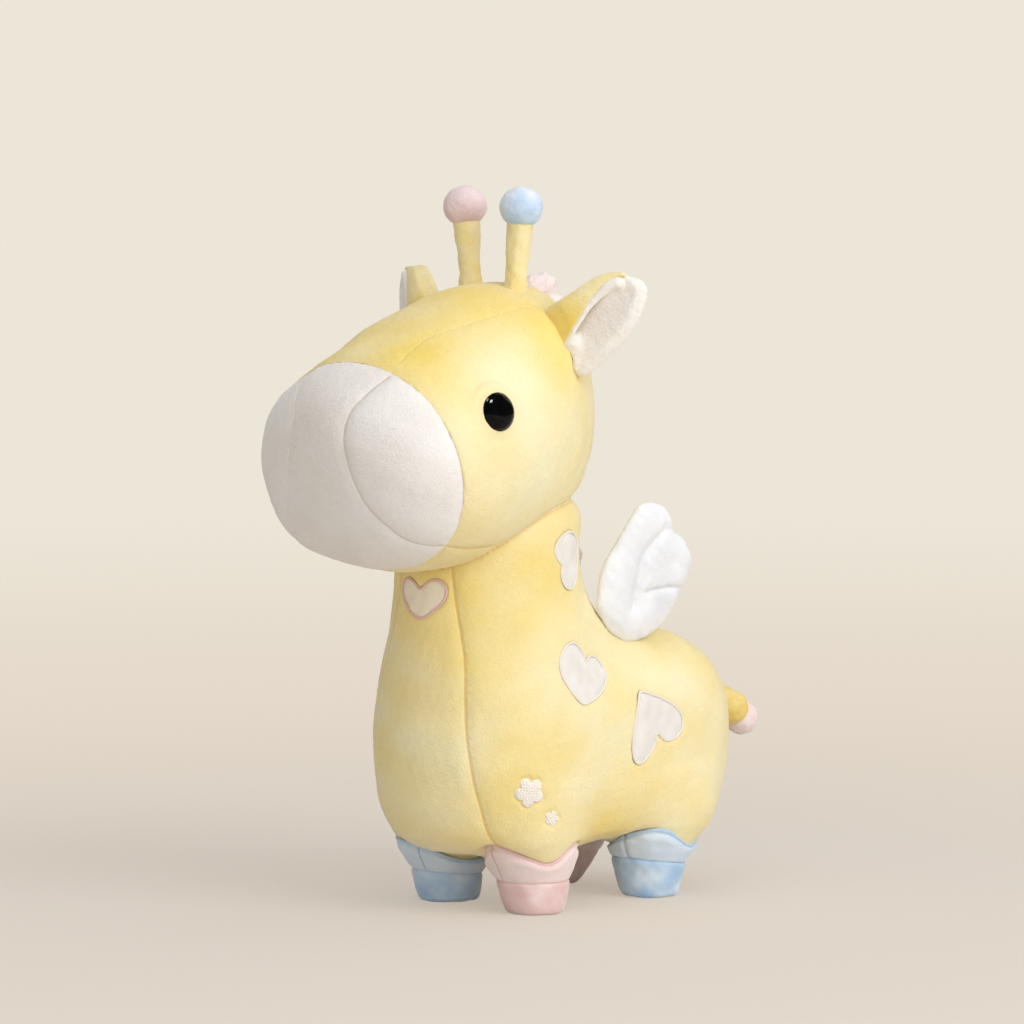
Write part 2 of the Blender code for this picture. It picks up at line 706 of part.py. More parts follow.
def ear_leaf(root, along, across, out, grow=0.0):
    """The ear's leaf with its root roll."""
    total = LEAF_POINTS + CURL_POINTS + 1 + FLAP_POINTS
    roll_line = [(blend(-EAR_ROLL_HALF_LENGTH, EAR_ROLL_HALF_LENGTH, i / (total - 1)), 0) for i in range(total)]
    rings = []
    for turn in (-75, -40, 0):
        depth = (EAR_ROLL_RADIUS + grow) * math.sin(math.radians(turn))
        half = (EAR_ROLL_RADIUS + grow) * math.cos(math.radians(turn))
        rings.append(ear_places(thick_loop(roll_line, half), root, along, across, out, depth))
    for share in EAR_STATIONS:
        height = blend(EAR_FLARE, EAR_LENGTH, share)
        half = EAR_THICKNESS / 2 * swell(share, (6, 2)) + grow
        rings.append(ear_places(thick_loop(ear_line(share), half), root, along, across, out, height))
    leaf = Body()
    made = leaf.stack(rings)
    for ring in (made[0], made[-1]):
        centre = sum((Vector(leaf.points[i]) for i in ring), Vector()) / len(ring)
        leaf.fan(ring, leaf.point(centre))
    return leaf


def ear_lining_body(root, along, across, out):
    """The lining that lies on the leaf's hollow face."""
    lining = Body()
    lining_rings = []
    shift = EAR_THICKNESS / 2 + SEAM_GAP + LINING_THICKNESS / 2
    for share in EAR_STATIONS[1:LINING_STATION_END]:
        height = blend(EAR_FLARE, EAR_LENGTH, share)
        line = ear_line(share)[1:LEAF_POINTS]
        half = LINING_THICKNESS / 2
        lining_rings.append(ear_places(thick_loop(line, half, shift), root, along, across, out, height))
    made = lining.stack(lining_rings)
    for ring in (made[0], made[-1]):
        centre = sum((Vector(lining.points[i]) for i in ring), Vector()) / len(ring)
        lining.fan(ring, lining.point(centre))
    return lining


for side_name, side in SIDES:
    turn = EAR_TURN if side > 0 else math.pi - EAR_TURN
    root, normal = seat_on(head_point, EAR_SHARE, turn)
    along = mirrored(EAR_DIRECTION, side).normalized()
    across = mirrored(EAR_ACROSS, side)
    across = (across - along * across.dot(along)).normalized()
    out = along.cross(across) * side
    ear = node("ear_" + side_name, ear_leaf(root, along, across, out), YELLOW)
    set_origin(ear, root)
    ear_lining = node("ear_lining_" + side_name, ear_lining_body(root, along, across, out), CREAM)
    trim(ear_lining, tool("ear_clearance_" + side_name, ear_leaf(root, along, across, out, SEAM_GAP)))
    set_origin(ear_lining, root)
    groove = capsule(root, across, EAR_ROLL_RADIUS + FLEX_GAP, EAR_ROLL_HALF_LENGTH)
    groove_tool = tool("ear_groove_" + side_name, groove)
    trim(head_cover, groove_tool)
    trim(head_stuffing, groove_tool)


# Wings: one padded leaf of three feathers on a root roll
WING_OUTLINE_SHARES = (
    (-0.10, 0.02), (-0.31, 0.10), (-0.46, 0.27), (-0.485, 0.43), (-0.455, 0.61), (-0.36, 0.735), (-0.25, 0.86),
    (-0.13, 0.965), (0.01, 1.0), (0.14, 0.965), (0.23, 0.885), (0.265, 0.80), (0.37, 0.755), (0.475, 0.68),
    (0.52, 0.58), (0.505, 0.455), (0.435, 0.365), (0.405, 0.265), (0.33, 0.175), (0.21, 0.09), (0.06, 0.03),
)
WING_MIDDLE_SHARES = (0.0, 0.5)
WING_CURVE_STEPS = 1
WING_PAD_SHARES = ((1.0, 0.0), (0.94, 0.62), (0.80, 0.88), (0.5, 1.0))


def wing_body(root, along, up, through):
    """The padded leaf: rings that shrink towards its middle on both faces."""
    outline = smooth_closed([(a * WING_LENGTH, u * WING_HEIGHT) for a, u in WING_OUTLINE_SHARES], WING_CURVE_STEPS)
    middle = Vector((WING_MIDDLE_SHARES[0] * WING_LENGTH, WING_MIDDLE_SHARES[1] * WING_HEIGHT))

    def ring(scale, half):
        places = []
        for point in outline:
            flat = middle + (point - middle) * scale
            places.append(root + along * flat.x + up * flat.y + through * half)
        return places

    def half_at(pad):
        return blend(WING_EDGE_HALF_THICKNESS, WING_HALF_THICKNESS, pad)

    faces = []
    for direction in (1, -1):
        rings = [ring(scale, direction * half_at(pad)) for scale, pad in WING_PAD_SHARES[1:]]
        centre = root + along * middle.x + up * middle.y + through * (direction * WING_HALF_THICKNESS)
        faces.append(rings + [[centre]])
    edge = [ring(WING_PAD_SHARES[0][0], 0)]
    body = Body()
    body.stack(faces[0][::-1] + edge + faces[1])
    return body


for side_name, side in SIDES:
    wing_y = HIND_CENTRE.y + WING_BEHIND_HIND_CENTRE
    half_width_share = WING_OUT / HIND_HALF_WIDTH
    inner, outer = HIND_FULLNESS
    height_share = (1 - half_width_share ** outer) ** (1 / inner)
    root = Vector((side * WING_OUT, wing_y, HIND_CENTRE.z + HIND_HALF_HEIGHT * height_share))
    along = Vector((0, 1, 0))
    up = Vector((side * math.sin(WING_LEAN), 0, math.cos(WING_LEAN)))
    through = along.cross(up)
    wing = node("wing_" + side_name, wing_body(root, along, up, through), WHITE)
    roll = tool("wing_roll_" + side_name, capsule(root, along, WING_ROLL_RADIUS, WING_ROLL_HALF_LENGTH))
    trim(wing, roll, "UNION")
    set_origin(wing, root)
    groove = capsule(root, along, WING_ROLL_RADIUS + FLEX_GAP, WING_ROLL_HALF_LENGTH)
    trim(hindquarters_cover, tool("wing_groove_" + side_name, groove))


# Tail: a drooping stub with a round root, and its tuft
tail_root, tail_out = seat_on(hind_point, TAIL_HEIGHT_SHARE, math.pi / 2)
tail_axis = Vector((0, math.cos(TAIL_DROOP), -math.sin(TAIL_DROOP)))
tip_rounds = [(TAIL_RADIUS * math.cos(math.pi / 2 * i / 4), TAIL_LENGTH + TAIL_RADIUS * math.sin(math.pi / 2 * i / 4))
              for i in range(4)]
profile = round_root(TAIL_ROOT_RADIUS, TAIL_RADIUS) + tip_rounds + [(0, TAIL_LENGTH + TAIL_RADIUS)]
tail = node("tail", turned(profile, tail_root, tail_axis), YELLOW)
grown = [(radius + SEAM_GAP if radius else 0, height) for radius, height in tip_rounds]
tail_room = tool("tail_room", turned([(0, 0), (TAIL_RADIUS + SEAM_GAP, 0)] + grown
                                     + [(0, TAIL_LENGTH + TAIL_RADIUS + SEAM_GAP)], tail_root, tail_axis))
tuft_centre = tail_root + tail_axis * TAIL_LENGTH - Vector((0, 0, TAIL_TUFT_DROP))
tuft = node("tail_tuft", ball(tuft_centre, TAIL_TUFT_RADIUS), PALE_PINK)
trim(tuft, tail_room)
set_origin(tail, tail_root)
set_origin(tuft, tail_root)
tail_socket = tool("tail_socket", ball(tail_root, TAIL_ROOT_RADIUS + FLEX_GAP))
trim(hindquarters_cover, tail_socket)
trim(body_stuffing, tail_socket)


# Mane crest: lobes along the middle of the head's back and the neck's back
def walk(places, spacing):
    """Evenly spaced places along a line of close places."""
    lengths = [0.0]
    for first, second in zip(places, places[1:]):
        lengths.append(lengths[-1] + (second - first).length)
    count = max(2, round(lengths[-1] / spacing))
    found = []
    for i in range(count + 1):
        want = lengths[-1] * i / count
        k = max(1, next((n for n, length in enumerate(lengths) if length >= want - SEAM_GAP / 100), 1))
        part = (want - lengths[k - 1]) / (lengths[k] - lengths[k - 1])
        found.append(places[k - 1].lerp(places[k], part))
    return found


CREST_SIDES = 8
CREST_STATIONS = 4


def crest_body(places):
    """A padded crest in scallops, standing on a line of places."""
    lobe_count = max(1, round((len(places) - 1) / CREST_STATIONS))
    rings = []
    for i, spot in enumerate(places):
        start, end = places[max(0, i - 1)], places[min(len(places) - 1, i + 1)]
        along = (end - start).normalized()
        out = Vector((1, 0, 0)).cross(along)
        out = out if out.dot(CREST_OUT) > 0 or True else -out
        share = i / (len(places) - 1)
        lobe = abs(math.sin(math.pi * lobe_count * share)) ** 0.6
        height = blend(MANE_NOTCH_HEIGHT, MANE_HEIGHT, lobe)
        wide = blend(MANE_NOTCH_HALF_WIDTH, MANE_HALF_WIDTH, lobe)
        if i in (0, len(places) - 1):
            height = wide = SEAM_GAP
            rings.append([spot - out * MANE_ROOT_DEPTH / 2])
            continue
        middle = (height - MANE_ROOT_DEPTH) / 2
        half = (height + MANE_ROOT_DEPTH) / 2
        turns = [2 * math.pi * k / CREST_SIDES for k in range(CREST_SIDES)]
        rings.append([spot + out * (middle + half * math.sin(t)) + Vector((wide * math.cos(t), 0, 0)) for t in turns])
    body = Body()
    body.stack(rings)
    return body


CREST_OUT = Vector((0, 1, 0))
FINE_STEPS = 60
top_run = [head_point(blend(HEAD_MANE_START_SHARE, -1, i / FINE_STEPS), math.pi / 2) for i in range(FINE_STEPS + 1)]
low_run = [head_point(blend(-1, HEAD_MANE_END_SHARE, i / FINE_STEPS), -math.pi / 2) for i in range(1, FINE_STEPS + 1)]
head_line = walk(top_run + low_run, MANE_LOBE_LENGTH / CREST_STATIONS)
head_mane = node("head_mane", crest_body(head_line), PALE_PINK)
trim(head_mane, head_clearance)
trim(head_mane, column_clearance)
neck_run = [column_point(blend(NECK_MANE_TOP_SHARE, NECK_MANE_END_SHARE, i / FINE_STEPS), math.pi / 2)
            for i in range(FINE_STEPS + 1)]
neck_line = walk(neck_run, MANE_LOBE_LENGTH / CREST_STATIONS)
neck_mane = node("neck_mane", crest_body(neck_line), PALE_PINK)
trim(neck_mane, head_clearance)
trim(neck_mane, column_clearance)
trim(neck_mane, hind_clearance)


# Hearts and flowers: patches of cloth that lie on the pile
def heart_outline(half_width, half_height, steps=24):
    """A heart with round lobes and a point at the bottom."""
    points = []
    for i in range(steps):
        turn = 2 * math.pi * i / steps
        x = math.sin(turn) ** 3
        y = (13 * math.cos(turn) - 5 * math.cos(2 * turn) - 2 * math.cos(3 * turn) - math.cos(4 * turn)) / 14.5
        points.append((half_width * x, half_height * y))
    return points


def flower_outline(radius, steps=20, petals=5, notch_share=0.28):
    points = []
    for i in range(steps):
        turn = 2 * math.pi * i / steps
        reach = radius * (1 - notch_share * (1 - abs(math.sin(petals / 2 * turn))))
        points.append((reach * math.cos(turn), reach * math.sin(turn)))
    return points


def patch(name, outline, place, share, turn, roll, grown, clearance, colour):
    """A flat outline pressed onto a rounded form, and turned in its own plane."""
    spot, out = seat_on(place, share, turn)
    right = Vector((0, 0, 1)).cross(out).normalized()
    up = out.cross(right)
    places = []
    for x, y in outline:
        a = x * math.cos(roll) - y * math.sin(roll)
        b = x * math.sin(roll) + y * math.cos(roll)
        places.append(spot + right * a + up * b)
    body = Body()
    rings = [body.ring([p + out * depth for p in places]) for depth in (OVERRUN, -OVERRUN)]
    body.bridge(*rings)
    for ring, depth in zip(rings, (OVERRUN, -OVERRUN)):
        body.fan(ring, body.point(spot + out * depth))
    piece = node(name, body, colour)
    trim(piece, grown, "INTERSECT")
    trim(piece, clearance)
    return piece


PATCH_GROW = SEAM_GAP + PATCH_THICKNESS
column_patch = tool("column_patch_skin", solid_form(column_point, COLUMN_SHARES, PATCH_GROW))
hind_patch = tool("hind_patch_skin", solid_form(hind_point, HIND_SHARES, PATCH_GROW))


def column_share(height):
    return (height - BELLY_HEIGHT) / COLUMN_HEIGHT


THROAT_HEIGHT_SHARE = 0.735
NECK_HEART_HEIGHT_SHARE = 0.835
SHOULDER_HEIGHT_SHARE = 0.52
LARGE_FLOWER_HEIGHT_SHARE = 0.20
SMALL_FLOWER_HEIGHT_SHARE = 0.142
FLANK_HEIGHT_SHARE = 0.13
THROAT_TURN = math.radians(-89)
NECK_HEART_TURN = math.radians(9)
SHOULDER_TURN = math.radians(12)
LARGE_FLOWER_TURN = math.radians(-22)
SMALL_FLOWER_TURN = math.radians(-9)
FLANK_TURN = math.radians(-6)
patch("heart_throat", heart_outline(*THROAT_HEART), column_point, THROAT_HEIGHT_SHARE, THROAT_TURN,
      math.radians(8), column_patch, column_clearance, CREAM)
for side_name, side in SIDES:

    def around(turn):
        return turn if side > 0 else math.pi - turn

    neck_heart = patch("heart_neck_" + side_name, heart_outline(*NECK_HEART), column_point,
                       NECK_HEART_HEIGHT_SHARE, around(NECK_HEART_TURN), side * math.radians(80),
                       column_patch, column_clearance, CREAM)
    trim(neck_heart, head_clearance)
    shoulder_heart = patch("heart_shoulder_" + side_name, heart_outline(*SHOULDER_HEART), column_point,
                           SHOULDER_HEIGHT_SHARE, around(SHOULDER_TURN), 0, column_patch, column_clearance, CREAM)
    trim(shoulder_heart, hind_clearance)
    patch("heart_flank_" + side_name, heart_outline(*FLANK_HEART), hind_point,
          FLANK_HEIGHT_SHARE, around(FLANK_TURN), side * math.radians(-150), hind_patch, hind_clearance, CREAM)
    patch("flower_large_" + side_name, flower_outline(LARGE_FLOWER_RADIUS), column_point,
          LARGE_FLOWER_HEIGHT_SHARE, around(LARGE_FLOWER_TURN), 0, column_patch, column_clearance, CREAM)
    patch("flower_small_" + side_name, flower_outline(SMALL_FLOWER_RADIUS), column_point,
          SMALL_FLOWER_HEIGHT_SHARE, around(SMALL_FLOWER_TURN), 0, column_patch, column_clearance, CREAM)
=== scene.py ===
"""The looks of the winged plush giraffe: soft covers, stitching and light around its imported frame."""
import math
from contextlib import contextmanager

import bmesh
import bpy
import numpy as np
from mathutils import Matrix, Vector


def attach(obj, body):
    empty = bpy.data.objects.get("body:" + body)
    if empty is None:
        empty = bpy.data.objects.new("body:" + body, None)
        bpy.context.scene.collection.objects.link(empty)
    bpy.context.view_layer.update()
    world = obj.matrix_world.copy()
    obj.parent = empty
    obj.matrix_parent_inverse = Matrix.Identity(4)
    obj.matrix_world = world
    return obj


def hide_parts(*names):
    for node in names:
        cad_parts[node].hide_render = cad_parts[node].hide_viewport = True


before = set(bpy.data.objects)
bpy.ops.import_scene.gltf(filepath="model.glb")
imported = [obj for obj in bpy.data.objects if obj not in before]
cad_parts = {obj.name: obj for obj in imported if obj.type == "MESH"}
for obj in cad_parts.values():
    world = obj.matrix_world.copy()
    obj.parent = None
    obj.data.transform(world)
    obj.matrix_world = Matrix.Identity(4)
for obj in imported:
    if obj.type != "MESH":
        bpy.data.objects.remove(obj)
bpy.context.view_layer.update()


# Camera
# The photograph looks at the toy's left front from a little above its middle, through a long lens.
CAMERA_AROUND = math.radians(45.4)
CAMERA_LOOK = math.radians(45.79)
CAMERA_DISTANCE = 2.3
CAMERA_HEIGHT = 0.346
CAMERA_PITCH = math.radians(4.5)
CAMERA_LENS_MM = 190.6
camera_data = bpy.data.cameras.new("camera")
camera_data.lens = CAMERA_LENS_MM
camera = bpy.data.objects.new("camera", camera_data)
camera.location = (CAMERA_DISTANCE * math.sin(CAMERA_AROUND), -CAMERA_DISTANCE * math.cos(CAMERA_AROUND),
                   CAMERA_HEIGHT)
camera.rotation_euler = (math.radians(90) - CAMERA_PITCH, 0, CAMERA_LOOK)
bpy.context.scene.collection.objects.link(camera)
bpy.context.scene.camera = camera
bpy.context.scene.view_settings.view_transform = "Standard"


# Studio floor and lights
# A sweep of warm paper, three wide soft lamps, and a warm room that fills the shade. A small lamp that
# only shines in gloss gives the eyes their glint.
def srgb(red, green, blue):
    """A colour as a paint chart gives it, from 0 to 255, in the renderer's own scale."""
    def linear(value):
        share = value / 255
        return share / 12.92 if share <= 0.04045 else ((share + 0.055) / 1.055) ** 2.4
    return (linear(red), linear(green), linear(blue))


class Wire:
    """A number from a shader node, so that sums on numbers read as sums."""

    def __init__(self, finish, socket):
        self.finish = finish
        self.socket = socket

    def sum(self, operation, first, second):
        return self.finish.add("ShaderNodeMath", {"operation": operation}, {0: first, 1: second})

    def __add__(self, other):
        return self.sum("ADD", self, other)

    def __sub__(self, other):
        return self.sum("SUBTRACT", self, other)

    def __rsub__(self, other):
        return self.sum("SUBTRACT", other, self)

    def __mul__(self, other):
        return self.sum("MULTIPLY", self, other)

    __radd__ = __add__
    __rmul__ = __mul__

    def step(self, low, high):
        """Rises smoothly from 0 at low to 1 at high."""
        return self.finish.add("ShaderNodeMapRange", {"interpolation_type": "SMOOTHSTEP"},
                               {"Value": self, "From Min": low, "From Max": high})


class Finish:
    """One material, and the nodes that paint it."""

    def __init__(self, name, **constants):
        self.material = bpy.data.materials.new(name)
        self.material.use_nodes = True
        self.tree = self.material.node_tree
        self.surface = self.tree.nodes["Principled BSDF"]
        for socket, value in constants.items():
            value = (*value, 1) if isinstance(value, tuple) and len(value) == 3 else value
            self.surface.inputs[socket.replace("_", " ")].default_value = value

    def add(self, kind, settings=None, sockets=None, output=0):
        node = self.tree.nodes.new(kind)
        for key, value in (settings or {}).items():
            setattr(node, key, value)
        for key, value in (sockets or {}).items():
            if isinstance(value, Wire):
                self.tree.links.new(value.socket, node.inputs[key])
            elif isinstance(value, tuple) and node.inputs[key].type == "RGBA":
                node.inputs[key].default_value = (*value, 1)
            else:
                node.inputs[key].default_value = value
        return Wire(self, node.outputs[output])

    def place(self):
        return self.add("ShaderNodeTexCoord", output="Object")

    def noise(self, size, detail=2.0, roughness=0.5):
        """Cloudy noise between 0 and 1 whose spots are about size metres across."""
        return self.add("ShaderNodeTexNoise", {}, {"Vector": self.place(), "Scale": 1 / size,
                                                   "Detail": detail, "Roughness": roughness})

    def measure(self, name):
        """A number that the mesh keeps at each of its points."""
        return self.add("ShaderNodeAttribute", {"attribute_name": name}, output="Fac")

    def mix(self, share, first, second):
        """A colour between two colours."""
        return self.add("ShaderNodeMix", {"data_type": "RGBA"}, {"Factor": share, 6: first, 7: second},
                        output=2)

    def feed(self, socket, wire):
        self.tree.links.new(wire.socket, self.surface.inputs[socket])

    def bump(self, height, distance):
        """Raises the surface by distance metres where height is 1."""
        self.feed("Normal", self.add("ShaderNodeBump", {}, {"Height": height, "Distance": distance,
                                                            "Strength": 1.0}))


FLOOR_NEAR = srgb(222, 216, 210)
FLOOR_MIDDLE = srgb(228, 216, 201)
FLOOR_FAR = srgb(236, 230, 216)
FLOOR_RADIUS = 9.0
FLOOR_SIDES = 64
FLOOR_FADE = (0.10, 0.85)
FLOOR_COOLING = (0.5, 2.2)
FLOOR_GLOW = 0.5
floor_mesh = bpy.data.meshes.new("floor")
floor_turns = [2 * math.pi * i / FLOOR_SIDES for i in range(FLOOR_SIDES)]
floor_mesh.from_pydata([(FLOOR_RADIUS * math.cos(t), FLOOR_RADIUS * math.sin(t), 0) for t in floor_turns], [],
                       [list(range(FLOOR_SIDES))])
floor = bpy.data.objects.new("floor", floor_mesh)
bpy.context.scene.collection.objects.link(floor)
paper = Finish("paper", Roughness=1.0, Specular_IOR_Level=0.0)
paper_distance = paper.add("ShaderNodeVectorMath", {"operation": "LENGTH"}, {0: paper.place()},
                           output="Value")
paper_fade = paper_distance.step(*FLOOR_FADE)
paper.feed("Base Color", paper.mix(paper_fade, FLOOR_NEAR, FLOOR_FAR))
paper_colour = paper.mix(paper_distance.step(*FLOOR_COOLING), FLOOR_MIDDLE, FLOOR_FAR)
paper_glow = paper.add("ShaderNodeEmission", {}, {"Color": paper_colour})
paper_seen = paper.add("ShaderNodeLightPath", output="Is Camera Ray")
paper_share = (FLOOR_GLOW + paper_fade * (1 - FLOOR_GLOW)) * paper_seen
paper_lit = Wire(paper, paper.surface.outputs[0])
paper_mix = paper.add("ShaderNodeMixShader", {}, {"Fac": paper_share, 1: paper_lit, 2: paper_glow})
paper.tree.links.new(paper_mix.socket, paper.tree.nodes["Material Output"].inputs["Surface"])
floor_mesh.materials.append(paper.material)

ROOM_LIGHT = (0.405, 0.405, 0.41)
ROOM_MIRRORED = 0.15
world = bpy.data.worlds.new("room")
world.use_nodes = True
bpy.context.scene.world = world
room_nodes, room_links = world.node_tree.nodes, world.node_tree.links
room_seen = room_nodes.new("ShaderNodeLightPath")


def room_light(colour, strength=1.0):
    made = room_nodes.new("ShaderNodeBackground")
    made.inputs["Color"].default_value = (*colour, 1)
    made.inputs["Strength"].default_value = strength
    return made.outputs[0]


def room_for(rays, light, others):
    """One light for a kind of ray, and another for all other rays."""
    made = room_nodes.new("ShaderNodeMixShader")
    for socket, source in enumerate((room_seen.outputs[rays], others, light)):
        room_links.new(source, made.inputs[socket])
    return made.outputs[0]


room_fill = room_for("Is Glossy Ray", room_light(ROOM_LIGHT, ROOM_MIRRORED), room_light(ROOM_LIGHT))
room_whole = room_for("Is Camera Ray", room_light(FLOOR_FAR), room_fill)
room_links.new(room_whole, room_nodes["World Output"].inputs["Surface"])

TOY_MIDDLE = Vector((0, -0.02, 0.15))
DAYLIGHT, WHITE_LIGHT = (0.98, 0.99, 1.0), (1.0, 1.0, 1.0)
# Name, turn around the toy as the camera's is and height in degrees, distance, size, power, colour, and
# whether it shows in gloss only
LAMPS = (
    ("key", 92, 30, 2.2, 1.5, 27.0, DAYLIGHT, False),
    ("top", 60, 86, 2.4, 2.4, 16.0, WHITE_LIGHT, False),
    ("front", 45, 18, 2.6, 2.2, 10.5, DAYLIGHT, False),
    ("glint", 42, 65, 2.07, 0.50, 60.0, WHITE_LIGHT, True),
)
for name, around, height, distance, size, power, colour, mirrored in LAMPS:
    around, height = math.radians(around), math.radians(height)
    lamp_data = bpy.data.lights.new(name, "AREA")
    lamp_data.size = size
    lamp_data.energy = power
    lamp_data.color = colour
    lamp = bpy.data.objects.new(name, lamp_data)
    lamp.visible_glossy = mirrored
    lamp.visible_diffuse = not mirrored
    level = math.cos(height)
    way = Vector((math.sin(around) * level, -math.cos(around) * level, math.sin(height)))
    lamp.location = TOY_MIDDLE + way * distance
    lamp.rotation_euler = (TOY_MIDDLE - lamp.location).to_track_quat("-Z", "Y").to_euler()
    bpy.context.scene.collection.objects.link(lamp)


# Body cover
# One yellow minky cover makes the neck, chest, hindquarters and legs. It is sewn from panels with
# hidden seams that pull the pile into shallow valleys, and its dye is cloudy, deeper near the seams;
# the shade under the head is painted in as deeper yellow.
BELLY_HEIGHT = 0.024
NECK_Y = -0.035
CHEST_HALF_WIDTH = 0.0485
CHEST_HALF_DEPTH = 0.0500
CHEST_WIDEST = 0.072
CHEST_RISE = 0.048
CHEST_FULLNESS = (4.5, 2.0)
CHEST_FLOOR = 2.6
NECK_HALF_WIDTH = 0.0396
NECK_HALF_DEPTH = 0.0406
NECK_RISE = 0.068
NECK_START = 0.158
NECK_TUCK = 0.024
NECK_TOP = 2.5
HIND_CENTRE = (0.0, 0.025, 0.070)
HIND_HALF_WIDTH = 0.0485
HIND_HALF_HEIGHT = 0.046
HIND_REAR_LENGTH = 0.065
HIND_FRONT_LENGTH = 0.072
# How square the hindquarters are: in plan behind and in front, and upright above and below their middle
HIND_PLAN = (2.3, 2.8)
HIND_FULLNESS = (2.5, 5.5)
HIND_ROUNDNESS = (2.5, 2.6)
LEG_SPREAD = 0.026
LEG_REACH = 0.035
# Tables of places and profiles are in millimetres
LEG_PROFILE = ((10, 13.4), (16.5, 14.6), (22, 16.8), (27, 18.4), (32, 20), (40, 21), (52, 20.6), (70, 19))
LEG_NAMES = ("front_left", "hind_left", "front_right", "hind_right")
LEG_PLACES = [(x, y) for x in (LEG_SPREAD, -LEG_SPREAD) for y in (-LEG_REACH, LEG_REACH)]
LEG_CAP_HEIGHT = 0.056
BODY_STEP = 0.0023
FORM_BLEND = 0.0055
SLOPE_STEPS = np.eye(3) * 0.0002
OUTWARD_STEPS = np.eye(3) * 0.0004


def mm(table):
    return np.array(table, float) / 1000


def ease(share):
    share = np.clip(share, 0, 1)
    return share * share * (3 - 2 * share)


def distance_to(shape, places):
    """Roughly how far places lie outside a shape, which is 1 on its surface and less inside."""
    value = shape(places)
    slope = [(shape(places + step) - shape(places - step)) / (2 * step.max()) for step in SLOPE_STEPS]
    return (value - 1) / np.maximum(np.linalg.norm(slope, axis=0), 1)


def merge(distances, softness):
    """The distance to several forms that flow into each other."""
    nearest = np.min(distances, axis=0)
    return nearest - softness * np.log(sum(np.exp((nearest - d) / softness) for d in distances))


def chest_shape(p):
    slim = ease((p[:, 2] - CHEST_WIDEST) / NECK_RISE)
    wide = CHEST_HALF_WIDTH + (NECK_HALF_WIDTH - CHEST_HALF_WIDTH) * slim
    deep = CHEST_HALF_DEPTH + (NECK_HALF_DEPTH - CHEST_HALF_DEPTH) * slim
    across = np.hypot(p[:, 0] / wide, (p[:, 1] - NECK_Y) / deep)
    below = np.clip((CHEST_WIDEST - p[:, 2]) / CHEST_RISE, 0, None)
    above = np.clip((p[:, 2] - NECK_START) / NECK_TUCK, 0, None)
    fullness = CHEST_FULLNESS[0] - CHEST_FULLNESS[1] * slim
    return (across ** fullness + below ** CHEST_FLOOR + above ** NECK_TOP) ** (1 / fullness)


def hind_shape(p):
    x, y, z = (p[:, i] - HIND_CENTRE[i] for i in range(3))
    square = np.where(y > 0, *HIND_PLAN)
    length = np.where(y > 0, HIND_REAR_LENGTH, HIND_FRONT_LENGTH)
    plan = (np.abs(x / HIND_HALF_WIDTH) ** square + np.abs(y / length) ** square) ** (1 / square)
    height = np.abs(z / HIND_HALF_HEIGHT)
    fullness, roundness = np.where(z > 0, *HIND_FULLNESS), np.where(z > 0, *HIND_ROUNDNESS)
    return (plan ** fullness + height ** roundness) ** (1 / fullness)


def leg_distance(p, x, y):
    heights, radii = mm(LEG_PROFILE).T
    radius = np.interp(p[:, 2], heights, radii)
    return np.hypot(p[:, 0] - x, p[:, 1] - y) - radius + np.clip(p[:, 2] - LEG_CAP_HEIGHT, 0, None)


def body_distance(p):
    trunk = merge([distance_to(chest_shape, p), distance_to(hind_shape, p)], FORM_BLEND)
    return merge([trunk] + [leg_distance(p, x, y) for x, y in LEG_PLACES], FORM_BLEND / 2)


def onto(distance, places, rounds=3):
    """Moves places straight onto the surface of a form."""
    for _ in range(rounds):
        value = distance(places)
        slope = np.stack([(distance(places + step) - distance(places - step)) / (2 * step.max())
                          for step in SLOPE_STEPS], -1)
        places = places - slope * (value / np.maximum((slope ** 2).sum(1), 0.05))[:, None]
    return places


def outward(distance, places):
    slope = np.stack([distance(places + s) - distance(places - s) for s in OUTWARD_STEPS], -1)
    return slope / np.maximum(np.linalg.norm(slope, axis=1), 1e-12)[:, None]


def relaxed(places, faces, share=0.5):
    """Evens out a net of places by moving each towards the middle of its neighbours."""
    ends = np.concatenate([faces[:, [i, (i + 1) % 4]] for i in range(4)])
    ends = np.concatenate([ends, ends[:, ::-1]])
    total = np.stack([np.bincount(ends[:, 0], places[ends[:, 1], k], len(places)) for k in range(3)], -1)
    count = np.maximum(np.bincount(ends[:, 0], minlength=len(places)), 1)[:, None]
    return places * (1 - share) + total / count * share


def skin_net(distance, low, high, step, rounds=3):
    """An even net of four-sided faces over a form, as (places, faces)."""
    axes = [np.arange(low[i], high[i] + step, step) for i in range(3)]
    shape = [len(a) for a in axes]
    grid = np.stack(np.meshgrid(*axes, indexing="ij"), -1).reshape(-1, 3)
    inside = (distance(grid) < 0).reshape(shape)
    cells = [slice(0, n - 1) for n in shape], [slice(1, n) for n in shape]
    count = sum(inside[cells[a][0], cells[b][1], cells[c][2]].astype(int)
                for a in (0, 1) for b in (0, 1) for c in (0, 1))
    active = (count > 0) & (count < 8)
    number = np.full(active.shape, -1)
    number[active] = np.arange(active.sum())
    places = np.array(low) + (np.argwhere(active) + 0.5) * step
    faces = []
    for a in range(3):
        order = a, (a + 1) % 3, (a + 2) % 3
        start, cell = (np.moveaxis(field, order, (0, 1, 2)) for field in (inside, number))
        i, j, k = np.nonzero(start[:-1, 1:-1, 1:-1] != start[1:, 1:-1, 1:-1])
        quad = np.stack([cell[i, j, k], cell[i, j + 1, k], cell[i, j + 1, k + 1], cell[i, j, k + 1]], -1)
        leaves = start[i, j + 1, k + 1]
        quad[~leaves] = quad[~leaves][:, ::-1]
        faces.append(quad)
    faces = np.concatenate(faces)
    for _ in range(rounds):
        places = onto(distance, relaxed(places, faces), 2)
    return places, faces


